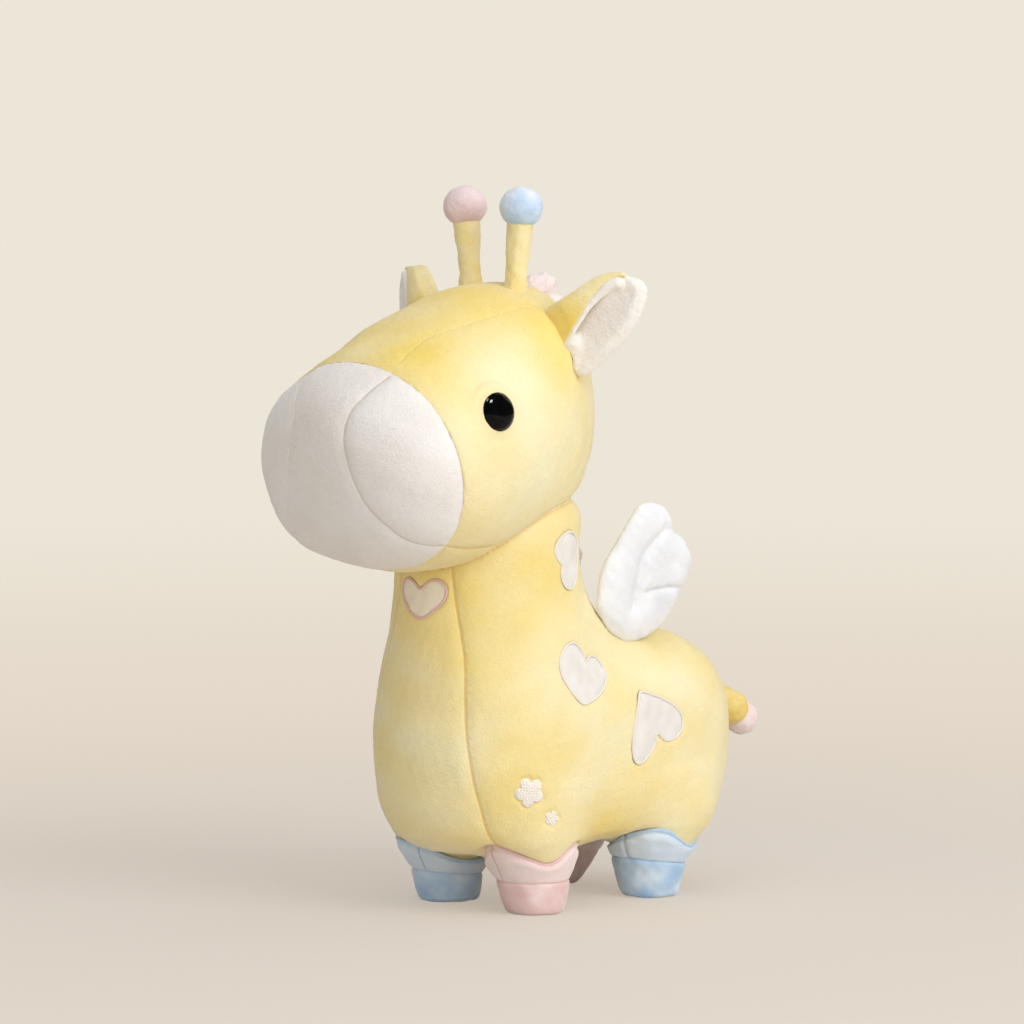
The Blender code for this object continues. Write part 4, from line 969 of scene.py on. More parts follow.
# Hearts and flowers
# Small cloth hearts lie in the pile, each with a raised rim of satin stitches; two flowers low on the
# shoulder are filled with knotted thread. The pile dips under each of them.
PATCH_DIP = 0.0010
PATCH_SLOPE = 0.0012
PATCH_NEAR = 0.03
HEART_CROWN = 0.0006
HEART_SINK = 0.55
HEART_SHARE = 0.965
HEART_GRID = 26
CLOTH_WAVES = (0.006, 0.00012)
RIM_RADIUS = 0.00052
RIM_SIDES = 8
RIM_WIDENING = 1.25
RIM_SINK = 0.25
STITCH_PITCH = 0.00062
STITCH_DEPTH = 0.00013
STITCH_ROWS = 4
FLOWER_GRID = 30
FLOWER_POINTS = 120
FLOWER_CROWN = 0.0009
FLOWER_SINK = 0.9
FLOWER_PETALS = 5
FLOWER_NOTCH = 0.36
FLOWER_KNOT = (0.0011, 0.00022)
CLOTH = {"pile": 0.0005, "seams": False, "nap": 0.6}
patch_cloth = plush("patch_cloth", srgb(243, 239, 233), srgb(226, 218, 208), **CLOTH)
throat_cloth = plush("throat_cloth", srgb(252, 244, 226), srgb(244, 230, 206), **CLOTH)


def thread(name, colour, shade):
    """Shiny embroidery thread; its stitches are in the mesh."""
    finish = Finish(name, Specular_IOR_Level=0.45, Sheen_Weight=0.25, Sheen_Roughness=0.3)
    strand = finish.noise(0.0006, 2.0)
    finish.feed("Base Color", finish.mix(strand, colour, shade))
    finish.feed("Roughness", 0.42 + strand * 0.15)
    finish.bump(strand, 0.0001)
    return finish


ivory_thread = thread("ivory_thread", srgb(248, 243, 234), srgb(226, 216, 198))
pink_thread = thread("pink_thread", srgb(240, 204, 198), srgb(222, 178, 172))
flower_thread = thread("flower_thread", srgb(250, 246, 238), srgb(240, 230, 214))


def flower_edge(turn, radius):
    reach = radius * (1 - FLOWER_NOTCH * (1 - np.abs(np.sin(FLOWER_PETALS / 2 * turn)) ** 0.6))
    return np.stack([reach * np.cos(turn), reach * np.sin(turn)], -1)


def seat_on_body(height, degrees, centre, side=1):
    """The place on the body at a height, seen from its upright middle line, and the way it faces."""
    turn = math.radians(degrees if side > 0 else 180 - degrees)
    way = np.array((math.cos(turn), math.sin(turn), 0))
    spot = np.array((*centre, height))
    near, far = 0.0, 0.09
    for _ in range(30):
        middle = (near + far) / 2
        if body_distance((spot + way * middle)[None])[0] < 0:
            near = middle
        else:
            far = middle
    spot = spot + way * near
    return spot, outward(body_distance, spot[None])[0]


def across_and_up(out):
    """The level way and the upward way on a surface that faces out."""
    right = np.cross((0, 0, 1), out)
    right = right / np.linalg.norm(right)
    return right, np.cross(out, right)


def press_flat(flat, spot, out, roll, mirror):
    """Lays flat (across, up) points on the body around a spot."""
    right, up = across_and_up(out)
    a = flat[:, 0] * math.cos(roll) - flat[:, 1] * math.sin(roll)
    b = flat[:, 0] * math.sin(roll) + flat[:, 1] * math.cos(roll)
    places = spot + np.outer(a * mirror, right) + np.outer(b, up)
    for _ in range(10):
        places = places - out * body_distance(places)[:, None]
    return places


def filled_outline(edge, grid, middle):
    """An even grid that fills an outline seen from its middle: flat points, their reach and the faces."""
    reach, turn, faces = disc_grid(grid)
    away = edge - middle
    edge_turn = np.arctan2(away[:, 1], away[:, 0])
    order = np.argsort(edge_turn)
    far = np.interp(turn, edge_turn[order], np.linalg.norm(away[order], axis=1), period=2 * math.pi)
    return np.stack([reach * far * np.cos(turn), reach * far * np.sin(turn)], -1) + middle, reach, faces


def closed(line):
    return np.vstack([line, line[:1]])


def stitched_rim(name, path, outs, finish):
    """A ring of slanted satin stitches along a closed line on a surface."""
    path = closed(path)
    run = run_along(path)
    count = round(run[-1] / STITCH_PITCH) * STITCH_ROWS
    where = np.linspace(0, run[-1], count + 1)[:-1]
    line = points_at(where, path)
    out = np.stack([np.interp(where, run, closed(outs)[:, i]) for i in range(3)], -1)
    along = np.roll(line, -1, axis=0) - np.roll(line, 1, axis=0)
    along = along / np.linalg.norm(along, axis=1)[:, None]
    across = np.cross(along, out)
    places = []
    for k in range(RIM_SIDES):
        turn = 2 * math.pi * k / RIM_SIDES
        slant = np.arange(count) / STITCH_ROWS + 0.5 * math.cos(turn)
        reach = RIM_RADIUS - STITCH_DEPTH * (1 - np.abs(np.cos(math.pi * slant)))
        places.append(line + (across * math.cos(turn) * RIM_WIDENING + out * math.sin(turn)) * reach[:, None])
    places = np.stack(places, 1).reshape(-1, 3)
    return piece(name, places, ring_faces(count, RIM_SIDES) % len(places), finish, "trunk")


def inside_outline(flat, ring):
    """Whether flat points lie inside a closed outline."""
    inside = np.zeros(len(flat), bool)
    for (x1, y1), (x2, y2) in zip(ring, np.roll(ring, -1, axis=0)):
        crosses = (y1 > flat[:, 1]) != (y2 > flat[:, 1])
        slope = (x2 - x1) / (y2 - y1) if y2 != y1 else 0.0
        inside ^= crosses & (flat[:, 0] < x1 + (flat[:, 1] - y1) * slope)
    return inside


def dip_under(spot, out, outline):
    """Presses the pile down under a patch."""
    near = np.linalg.norm(fine_places - spot, axis=1) < PATCH_NEAR
    places = fine_places[near]
    edge = line_distance(places, closed(outline))
    ways = np.stack(across_and_up(out), -1)
    within = inside_outline((places - spot) @ ways, (outline - spot) @ ways)
    depth = PATCH_DIP * np.where(within, 1.0, 1 - ease(edge / PATCH_SLOPE))
    body_surface[near] -= outward(body_distance, places) * depth[:, None]


def lay_patch(name, edge, middle, grid, seat, cloth, rise, roll=0, mirror=1):
    """A patch that fills an outline on the body, and the outline; rise(reach, places) lifts the cloth."""
    outline = press_flat(edge, *seat, roll, mirror)
    dip_under(*seat, outline)
    flat, reach, faces = filled_outline(edge, grid, middle)
    places = press_flat(flat, *seat, roll, mirror)
    places = places + outward(body_distance, places) * rise(reach, places)[:, None]
    return piece(name, places, faces if mirror > 0 else faces[:, ::-1], cloth, "trunk", levels=1), outline


def heart_rise(reach, places):
    domed = HEART_CROWN * np.sqrt(np.clip(1 - reach ** 2, 0, 1)) - PATCH_DIP * HEART_SINK
    return domed + CLOTH_WAVES[1] * cloud(places, CLOTH_WAVES[0], 41, 1)


def flower_rise(reach, places):
    return (FLOWER_CROWN + PATCH_DIP * 0.5) * np.clip(1 - reach ** 6, 0, 1) ** 0.5 - PATCH_DIP * FLOWER_SINK


def sew_heart(place, side_end, shape, seat, cloth, rim, mirror=1):
    middle, points = mm(shape[0]), mm(shape[1])
    name = "heart_" + place + "_patch" + side_end
    heart, outline = lay_patch(name, smooth_ring(points, 7) * HEART_SHARE, middle, HEART_GRID, seat, cloth,
                               heart_rise, mirror=mirror)
    keep_measure(heart, "dye_and_shade", np.clip(0.35 + 0.3 * cloud(read_places(heart), 0.012, 43), 0, 1))
    outs = outward(body_distance, outline)
    heart_rim = stitched_rim(name + "_rim", outline - outs * PATCH_DIP * RIM_SINK, outs, rim)
    stands_for(heart, "patch_cloth", 0.5, "heart_" + place + side_end)


def sew_flower(kind, side_end, radius, seat, roll, mirror):
    edge = flower_edge(np.linspace(0, 2 * math.pi, FLOWER_POINTS + 1)[:-1], radius)
    flower, _ = lay_patch("flower_" + kind + "_stitched" + side_end, edge, np.zeros(2), FLOWER_GRID, seat,
                          flower_thread, flower_rise, roll, mirror)
    fine = read_places(flower)
    knots = FLOWER_KNOT[1] * cloud(fine, FLOWER_KNOT[0], 47, 2)
    write_places(flower, fine + seat[1] * knots[:, None])
    stands_for(flower, "patch_cloth", None, "flower_" + kind + side_end)


# Each heart's shape, as a middle to fill it from and its edge
THROAT_HEART = ((-1, -2), ((-1.6, 2.8), (-5.5, 5.2), (-9.8, 6.6), (-13.8, 4.6), (-14.3, 0.6), (-11.7, -3.5),
                (-7, -7.5), (-2, -9.8), (2.2, -9.2), (6.5, -6.2), (10.2, -3.2), (12.3, 0.8), (11.8, 4.5),
                (8.5, 6.8), (4, 6.2)))
NECK_HEART = ((2.2, -0.5), ((-4.6, -1.8), (-7.6, 1), (-9, 4.5), (-7, 8.6), (-2.8, 11.3), (2.5, 11.9),
              (7, 9.3), (8.6, 5), (8.2, 0), (7.6, -5.5), (6, -10), (2.5, -12.7), (-2, -11.6), (-4.6, -8),
              (-5, -4.5)))
SHOULDER_HEART = ((0, -2), ((2.6, 3.8), (1.2, 7.8), (-1.5, 11.2), (-5.8, 12.4), (-11.2, 10), (-14.6, 5),
                  (-14.8, -0.5), (-12.5, -6), (-9, -10.8), (-5, -14.3), (-0.5, -14), (5, -12.2), (10, -9.5),
                  (13.5, -5.5), (15, -1), (13.8, 3), (10.2, 5.5), (6, 5.5)))
FLANK_HEART = ((-1.5, 3.5), ((0.4, -2.6), (-0.8, -6.6), (-4.5, -11.5), (-8.5, -14.5), (-12.2, -14.5),
               (-14.4, -11), (-14.6, -4.5), (-13, 3), (-10, 11), (-7.5, 16), (-4.5, 15.8), (1, 14),
               (8.5, 10.8), (14, 7), (16.7, 2.5), (15.5, -2.8), (11.2, -5.8), (5.5, -6)))
CHEST_CENTRE = (0, NECK_Y)
HIND_MIDDLE = HIND_CENTRE[:2]
# Where each patch sits, as its height and the turn of the way it faces in degrees
THROAT_SEAT = (0.1345, -87.5)
HEARTS = (("neck", NECK_HEART, 0.1486, 12.6, CHEST_CENTRE),
          ("shoulder", SHOULDER_HEART, 0.1025, 16.2, CHEST_CENTRE),
          ("flank", FLANK_HEART, 0.0755, -9.9, HIND_MIDDLE))
FLOWERS = (("large", 0.0067, 0.0537, -23.7, 8), ("small", 0.0036, 0.042, -11.1, 30))
sew_heart("throat", "", THROAT_HEART, seat_on_body(*THROAT_SEAT, CHEST_CENTRE), throat_cloth, pink_thread)
for side_name, side in SIDES:
    for place, shape, height, turn, centre in HEARTS:
        sew_heart(place, "_" + side_name, shape, seat_on_body(height, turn, centre, side), patch_cloth,
                  ivory_thread, side)
    for kind, radius, height, turn, roll in FLOWERS:
        sew_flower(kind, "_" + side_name, radius, seat_on_body(height, turn, CHEST_CENTRE, side),
                   math.radians(roll), side)
write_places(body_cover, body_surface)


# Hooves and cuffs
# Each leg ends in a stuffed hoof of smooth minky with a flat round sole, and a soft wavy cuff is
# sewn around it; the cuff's upper edge is a fat rolled hem that hugs the leg.
HOOF_PROFILE = ((14.6, 15.8), (15.6, 14), (15.2, 11.5), (14.5, 8.5), (13.8, 5.5), (13.1, 3), (12.4, 1.3),
                (11.3, 0.3), (9.8, 0.1), (8.4, 0.5))
HOOF_SEAM = 0.0140
HOOF_SIDES = 72
# A cuff's section, from the hoof's seam up to its hem: (share of its height, millimetres it stands out)
CUFF_BULGE = ((0.00, -1.1), (0.04, -0.4), (0.14, 0), (0.30, 0.4), (0.50, 0.9), (0.66, 1.2), (0.77, 0.9),
              (0.85, 0.1), (0.89, 0.2), (0.94, 0.3), (0.98, -0.2), (1.00, -1.1), (0.985, -2.1), (0.88, -3.3))
CUFF_WALL = 0.0034
CUFF_DEPTH = 0.0010
# How much deeper a cuff's colour is painted along its hem, and how far that reaches: painted shade where the
# body's bulge overhangs the hem
HEM_PAINTED_SHADE = (0.60, 0.0019)
SOLE_RADIUS = 0.0084
SOLE_GRID = 10
SOLE_RISE = (0.0002, 0.0004)
SEAM_GROOVE = (0.0011, 0.0006)
TUBE_HILLS = (0.010, 0.00022)
# Name, colour, the seam's height, its tilt and the tilt's turn, the cuff's seam turn, the sole's lean and
# spread, the hem's flare and a seed; in millimetres and degrees
HOOVES = (
    ("front_left", "pink", 14.0, 0.0, 0, -99, 1.0, 0.2, 0.0, 51),
    ("front_right", "blue", 12.5, 1.3, -100, -80, 0.6, 0.6, 1.6, 54),
    ("hind_left", "blue", 15.6, 2.0, -95, -79, 0.0, 0.0, 0.3, 57),
    ("hind_right", "pink", 15.6, 2.0, -85, -99, -4.0, -2.0, 0.0, 60),
)
HOOF_PLUSH = {
    "pink": plush("pink_plush", srgb(250, 230, 226), srgb(230, 180, 175), pile=0.0006, sheen=0.55,
                  seam_colour=srgb(176, 118, 112)),
    "blue": plush("blue_plush", srgb(224, 237, 248), srgb(150, 192, 230), pile=0.0006, sheen=0.55,
                  seam_colour=srgb(98, 136, 168)),
}


def ring_net(rings):
    """Places and faces of rings of equal counts; rings is an array (ring, corner, 3)."""
    return rings.reshape(-1, 3), ring_faces(rings.shape[0] - 1, rings.shape[1])


def dress_tube(made, groove, seed, base, spread):
    """Stitched grooves, dye clouds plus any painted shade, and slight unevenness for the small round pieces.
    """
    places = read_places(made)
    made.data.update()
    normals = np.array([v.normal[:] for v in made.data.vertices])
    rise = TUBE_HILLS[1] * cloud(places, TUBE_HILLS[0], seed, 2) - valley(groove, *SEAM_GROOVE)
    write_places(made, places + normals * rise[:, None])
    keep_measure(made, "seam", groove)
    keep_measure(made, "dye_and_shade", dye_and_shade_clouds(places, seed, 0.016, base, spread))


def make_hoof(name, colour, seam_height, seam_tilt, tilt_turn, cuff_turn, sole_lean, sole_spread, flare,
              seed):
    finish, slot = HOOF_PLUSH[colour], colour + "_plush"
    x, y = LEG_PLACES[LEG_NAMES.index(name)]
    seam_height, seam_tilt = mm((seam_height, seam_tilt))
    sole_lean, sole_spread, flare = mm((sole_lean, sole_spread, flare))
    turns = even_turns(HOOF_SIDES)
    ways = np.stack([np.cos(turns), np.sin(turns), np.zeros(HOOF_SIDES)], -1)
    foot = np.array((x, y, 0.0))
    lean_way = np.array((*CUFF_WAY, 0.0))
    seams = seam_height + seam_tilt * np.cos(turns - math.radians(tilt_turn))
    seam_spread = cuff_outside(seams) - cuff_outside(HOOF_SEAM)

    def ring(reaches, heights, lean=0.0):
        return foot + lean_way * lean + ways * np.asarray(reaches)[:, None] + np.outer(heights, (0, 0, 1))

    rows = []
    for r, z in smooth_line(mm(HOOF_PROFILE), 4)[::-1]:
        low = 1 - min(z / HOOF_SEAM, 1)
        spread = seam_spread * z / HOOF_SEAM + sole_spread * low
        rows.append(ring(r + spread, seams * z / HOOF_SEAM, sole_lean * low))
    hoof = piece("hoof_plush_" + name, *ring_net(np.stack(rows)), finish, "trunk", levels=1)
    seam_line = closed(ring(cuff_outside(seams), seams))
    dress_tube(hoof, line_distance(read_places(hoof), seam_line), seed, 0.45, 0.7)

    hems = hem_height(name, turns)
    rows = []
    for share, bulge in smooth_line(CUFF_BULGE, 3):
        heights = seams + (hems - seams) * share
        reaches = cuff_outside(heights) + bulge / 1000 + flare * share
        rows.append(ring(reaches, heights, CUFF_LEAN[name] * share))
    inner = seams + CUFF_DEPTH
    rows.append(ring(cuff_outside(inner) - CUFF_WALL, inner))
    cuff = piece("cuff_plush_" + name, *ring_net(np.stack(rows)), finish, "trunk", levels=1)
    places = read_places(cuff)
    hem_line = closed(ring(cuff_outside(hems) + flare, hems, CUFF_LEAN[name]))
    # A band of deeper colour along the hem: painted shade under the body's bulge
    painted_hem_shade = valley(line_distance(places, hem_line), HEM_PAINTED_SHADE[1], HEM_PAINTED_SHADE[0])
    around = np.arctan2(places[:, 1] - y, places[:, 0] - x) - math.radians(cuff_turn)
    cuff_seam = np.abs((around + math.pi) % (2 * math.pi) - math.pi) * cuff_outside(HOOF_SEAM)
    dress_tube(cuff, cuff_seam, seed + 1, 0.03 + painted_hem_shade, 0.22)

    reach, turn, faces = disc_grid(SOLE_GRID)
    flat = np.stack([reach * SOLE_RADIUS * np.cos(turn), reach * SOLE_RADIUS * np.sin(turn),
                     SOLE_RISE[0] + SOLE_RISE[1] * reach ** 4], -1)
    places = foot + lean_way * sole_lean + flat
    sole = piece("sole_plush_" + name, places, faces[:, ::-1], finish, "trunk", levels=1)
    keep_measure(sole, "seam", np.full(len(sole.data.vertices), 0.01))
    keep_measure(sole, "dye_and_shade", dye_and_shade_clouds(read_places(sole), seed, 0.012, 0.6, 0.5))
    for made, kind, fill in ((hoof, "hoof_", 0.9), (cuff, "cuff_", 0.6), (sole, "sole_", None)):
        stands_for(made, slot, fill, kind + name)


for row in HOOVES:
    make_hoof(*row)


# Horns
# Two slim stuffed stalks of yellow plush lean outwards; each carries a fuzzy ball, blue on the
# toy's left and pink on its right, gathered around the stalk's top.
HORN_ROOT = (0.01346, -0.032881, 0.261937)
HORN_SPLAY = math.radians(6)
HORN_LENGTH = 0.0335
HORN_STALK = ((-6, 5.8), (-2, 5.3), (2, 4.9), (8, 4.6), (16, 5), (23, 5.6), (29, 5.7), (32, 4.6))
HORN_SIDES = 28
HORN_BOW = 0.0001
HORN_HILLS = ((0.008, 0.00025), (0.003, 0.0001))
BALL_RADIUS = 0.0092
BALL_SQUASH = (1, 1, 1.06)
BALL_ROOM = 0.0125
# A spot of deeper colour low on each ball, which is paler above: how far below its middle, its radius and its
# depth.
BALL_LOW_SPOT = (0.0085, 0.0095, 0.75)
BALL_STEP = 0.0010
TUFTS = ((0.0050, 0.00014), (0.0016, 0.00007))
horn_yellow = plush("horn_yellow", YELLOW_PALE, YELLOW_DEEP, pile=0.0007, seams=False)
FUZZ = {"sheen": 0.6, "seams": False, "nap": 1.5}
pink_fuzz = plush("pink_fuzz", srgb(244, 222, 222), srgb(218, 186, 188), pile=0.0007, **FUZZ)
blue_fuzz = plush("blue_fuzz", srgb(234, 241, 250), srgb(146, 190, 238), pile=0.0007, **FUZZ)


def tufted(made, distance, seed, amounts=TUFTS, dye_and_shade=(0.4, 0.6), size=0.014, dye_and_shade_spots=()):
    """Brushed-up pile: small lumps over a rounded form."""
    places = read_places(made)
    write_places(made, places + outward(distance, places) * hills(places, seed, amounts)[:, None])
    keep_measure(made, "dye_and_shade", dye_and_shade_clouds(places, seed, size, *dye_and_shade, dye_and_shade_spots))


def make_horn(side_name, side, fuzz, ball_slot, stalk_seed, ball_seed):
    body = side_name + "_horn"
    root = np.array(HORN_ROOT) * np.array((side, 1, 1))
    axis = np.array((side * math.sin(HORN_SPLAY), 0, math.cos(HORN_SPLAY)))
    sideways = np.array((side * math.cos(HORN_SPLAY), 0, -math.sin(HORN_SPLAY)))
    forward = np.array((0, 1.0, 0))
    tip = root + axis * HORN_LENGTH
    turns = even_turns(HORN_SIDES)
    rings = []
    for height, radius in smooth_line(mm(HORN_STALK), 5):
        middle = root + axis * height - sideways * HORN_BOW * math.sin(math.pi * max(height, 0) / HORN_LENGTH)
        rings.append([middle + (sideways * math.cos(t) + forward * math.sin(t)) * radius for t in turns])
    places, faces = ring_net(np.array(rings))
    horn = piece("horn_stalk_" + side_name, places, faces[:, ::-side], horn_yellow, body, levels=1)

    def stalk_distance(p):
        along = (p - root) @ axis
        return np.linalg.norm(p - root - along[:, None] * axis, axis=1)

    def ball_distance(p):
        return np.linalg.norm((p - tip) * np.array(BALL_SQUASH), axis=1) - BALL_RADIUS

    tufted(horn, stalk_distance, stalk_seed, HORN_HILLS, (0.45, 0.5), 0.02)
    net = skin_net(ball_distance, tip - BALL_ROOM, tip + BALL_ROOM, BALL_STEP)
    ball = piece("horn_pompom_" + side_name, *net, fuzz, body, levels=1)
    below, width, depth = BALL_LOW_SPOT
    dye_and_shade_spots = ((tip - np.array((0, 0, below)), width, depth),)
    tufted(ball, ball_distance, ball_seed, dye_and_shade=(0.15, 0.5), dye_and_shade_spots=dye_and_shade_spots)
    stands_for(horn, "yellow_plush", 0.8, "horn_" + side_name)
    stands_for(ball, ball_slot, 0.8, "horn_ball_" + side_name)


make_horn("left", 1, blue_fuzz, "blue_plush", 71, 75)
make_horn("right", -1, pink_fuzz, "pink_plush", 73, 78)


# Ears
# Each ear is a plump dish of yellow plush with a cream lining. A fuzzy cream roll edges it all round, and
# the upper side folds forward over the lining, widest at the root, like a turned-down collar.
EAR_ROOT = np.array((0.039218, -0.030595, 0.241243))
EAR_ALONG = np.array((0.758, 0.379, 0.531))
EAR_ACROSS = np.array((-0.543, -0.083, 0.835))
EAR_OUT = np.array((0.360, -0.922, 0.143))
EAR_LEAF = ((-8, 11), (1, 13.7), (8.6, 13.3), (16.5, 13.2), (24.5, 13.5), (30.5, 12.8), (35.8, 10.2),
            (39, 6.2), (40.6, 2), (40.5, -1.2), (39, -3.8), (35.7, -7.2), (30, -11), (25, -13.4),
            (20.2, -15), (15.2, -16.4), (8.4, -17.4), (2.4, -18.2), (-0.6, -17.1), (-1, -13.9), (0.6, -10),
            (-1, -7), (-8, -6))
# The run of the smoothed leaf that is its upper edge
EAR_TOP = slice(4, 25)
EAR_FLAP = ((38.5, 5.6), (35, 7.6), (30.5, 7.8), (25.8, 6.4), (19.9, 4), (14.7, 1.2), (8.9, -1.8),
            (3.5, -4.4), (-4, -6.2), (-8, 10.8), (1, 13.5), (8.6, 13.1), (16.5, 13), (24.5, 13.3),
            (30.5, 12.6), (35.2, 10.1), (38, 7.4))
# The fuzzy roll, along the flap's free edge and then around the tip: (along, across, radius)
EAR_FLAP_ROLL = ((-2, -6.4, 0.7), (3.5, -4.6, 0.8), (8.9, -2, 1), (14.7, 1, 1.2), (19.9, 3.6, 1.4),
                 (25.8, 5.4, 1.8), (30.5, 6.2, 2.1))
EAR_TIP_ROLL = ((35, 5.2, 2.1), (38.2, 3.4, 2.3), (40.2, 1.2, 2.3), (40.4, -1.6, 2.3), (38.8, -4.2, 2.1),
                (35.4, -7.3, 1.9), (29.8, -11.3, 1.7), (25, -13.6, 1.6), (20.2, -15.2, 1.5),
                (15.2, -16.6, 1.4), (8.4, -17.6, 1.3), (2.6, -18, 1.3), (-0.2, -16.6, 1.2),
                (-0.4, -13.6, 1.1))
ROLL_STEPS = 3
EAR_CURL = 0.0010
EAR_CURL_WIDTH = 0.0105
EAR_BACK_HALF = 0.0012
EAR_FLAP_HALF = 0.0012
EAR_LINING_HALF = 0.0017
EAR_LINING_EDGE = 0.0005
EAR_FOLD_RISE = ((-4, 2.6), (3, 5.6), (9, 7.2), (18, 6.8), (28, 5.4), (37, 4.2))
EAR_FOLD_WIDTH = 0.0062
EAR_LUMP = ((0.0044, -0.0048, 0.0040), 0.0031)
EAR_STEP = 0.0008
EAR_SLOPE_STEP = np.array((0.0, 0.0005))
EAR_BLEND = 0.0008
LINING_BLEND = 0.0010
EAR_LOW, EAR_HIGH = np.array((0.020, -0.048, 0.210)), np.array((0.084, 0.004, 0.282))


def outline_reach(flat, ring):
    """Distance to a closed outline, less than zero inside."""
    edge = line_distance(flat, closed(ring))
    return np.where(inside_outline(flat, ring), -edge, edge)


def rounded_slab(reach, depth, half):
    """The distance to a sheet with round edges."""
    return np.hypot(np.clip(reach + half, 0, None), depth) - half


def ear_local(p):
    offset = p - EAR_ROOT
    return np.stack([offset @ EAR_ALONG, offset @ EAR_ACROSS], -1), offset @ EAR_OUT


def ear_dish(reach):
    """How far the leaf stands forward: its edges curl up around the lining."""
    return EAR_CURL * (1 - ease(-reach / EAR_CURL_WIDTH))


def ear_fold(flat):
    """How far the folded flap stands forward."""
    top = np.interp(flat[:, 0], *ear_leaf[EAR_TOP].T)
    inward = np.clip((top - flat[:, 1]) / EAR_FOLD_WIDTH, 0, 1)
    return EAR_CURL + np.interp(flat[:, 0], *mm(EAR_FOLD_RISE).T) * np.sqrt(1 - (1 - inward) ** 2)


def ear_yellow_distance(p):
    flat, out = ear_local(p)
    reach = outline_reach(flat, ear_leaf)
    back = rounded_slab(reach, out - ear_dish(reach) + EAR_BACK_HALF, EAR_BACK_HALF)
    slope = (ear_fold(flat + EAR_SLOPE_STEP) - ear_fold(flat - EAR_SLOPE_STEP)) / (2 * EAR_SLOPE_STEP[1])
    flap_depth = (out - ear_fold(flat)) / np.sqrt(1 + slope ** 2)
    flap = rounded_slab(outline_reach(flat, ear_flap), flap_depth, EAR_FLAP_HALF)
    return merge([back, flap], EAR_BLEND)


def roll_distance(places, line, radii):
    """The distance to a soft roll whose thickness changes along it."""
    found = np.full(len(places), 1.0)
    for start, end, first, last in zip(line, line[1:], radii, radii[1:]):
        along = end - start
        share = np.clip(((places - start) @ along) / (along @ along), 0, 1)
        away = np.linalg.norm(places - start - share[:, None] * along, axis=1)
        found = np.minimum(found, away - first - (last - first) * share)
    return found


def ear_cream_distance(p):
    flat, out = ear_local(p)
    reach = outline_reach(flat, ear_leaf)
    local = np.column_stack([flat, out])
    lining = rounded_slab(reach + EAR_LINING_EDGE, out - ear_dish(reach) - EAR_LINING_HALF, EAR_LINING_HALF)
    roll = roll_distance(local, ear_roll_line, ear_roll[:, 2])
    lump = np.linalg.norm(local - EAR_LUMP[0], axis=1) - EAR_LUMP[1]
    return merge([lining, roll, lump], LINING_BLEND)


def both_sides(name, net, distance, finish, body, amounts, dye_and_shade, dye_and_shade_spots, seed, slot, fill, node_name):
    """Makes a left piece and its mirror image on the right."""
    made = []
    for side_name, side in SIDES:
        mirror = np.array((side, 1, 1))
        places, faces = net
        new = piece(name + "_" + side_name, places * mirror, faces[:, ::side], finish, side_name + "_" + body,
                    levels=1)

        def sided(p):
            return distance(p * mirror)

        sided_dye_and_shade_spots = [(np.array(spot) * mirror, radius, amount) for spot, radius, amount in dye_and_shade_spots]
        tufted(new, sided, seed + (side < 0), amounts, dye_and_shade, 0.018, sided_dye_and_shade_spots)
        stands_for(new, slot, fill, node_name + "_" + side_name)
        made.append(new)
    return made


ear_leaf = smooth_ring(mm(EAR_LEAF))
ear_flap = smooth_ring(mm(EAR_FLAP), 3)
ear_roll = smooth_line(mm(EAR_FLAP_ROLL + EAR_TIP_ROLL), ROLL_STEPS)
on_flap = np.arange(len(ear_roll)) < ROLL_STEPS * len(EAR_FLAP_ROLL)
ear_roll_line = np.column_stack([ear_roll[:, :2], np.where(on_flap, ear_fold(ear_roll[:, :2]), EAR_CURL)])
# A spot of deeper beige on the lining, under the flap's free edge: painted shade.
LINING_PAINTED_SHADE = ((EAR_ROOT + EAR_ALONG * 0.014 + EAR_ACROSS * 0.001, 0.009, 0.40),)
# Deeper yellow over the flap's root, where it is creased: partly dye, partly painted shade of the crease.
EAR_DYE_AND_SHADE = ((EAR_ROOT + EAR_ALONG * 0.002 + EAR_OUT * 0.008, 0.014, 0.55),)
EAR_HILLS = ((0.0075, 0.00010),)
LINING_HILLS = ((0.0040, 0.00010), (0.0016, 0.00003))
lining_plush = plush("lining_plush", srgb(247, 241, 234), srgb(241, 221, 205), sheen=0.6, seams=False)
ear_yellow = plush("ear_yellow", YELLOW_PALE, YELLOW_DEEP, seams=False)
ear_net = skin_net(ear_yellow_distance, EAR_LOW, EAR_HIGH, EAR_STEP)
both_sides("ear_plush", ear_net, ear_yellow_distance, ear_yellow, "ear", EAR_HILLS, (0.45, 0.30),
           EAR_DYE_AND_SHADE, 81, "yellow_plush", 0.5, "ear")
lining_net = skin_net(ear_cream_distance, EAR_LOW, EAR_HIGH, EAR_STEP)
both_sides("ear_lining_plush", lining_net, ear_cream_distance, lining_plush, "ear", LINING_HILLS,
           (0.04, 0.16), LINING_PAINTED_SHADE, 84, "cream_plush", 0.5, "ear_lining")


# Mane
# A crest of pale pink plush puffs runs down the back of the head and of the neck, sewn in the middle.
MANE_HALF_WIDTH = 0.0062
MANE_PUFF = 0.0078
MANE_SMALL_PUFF = 0.86
MANE_RISE = 0.0044
MANE_STEP = 0.0011
MANE_ROOM = np.array((0.014, 0.020, 0.024))
MANE_BLEND = 0.0010
MANE_STEEPNESS = 0.85
MANE_HILLS = ((0.0045, 0.00035), (0.0018, 0.00014))
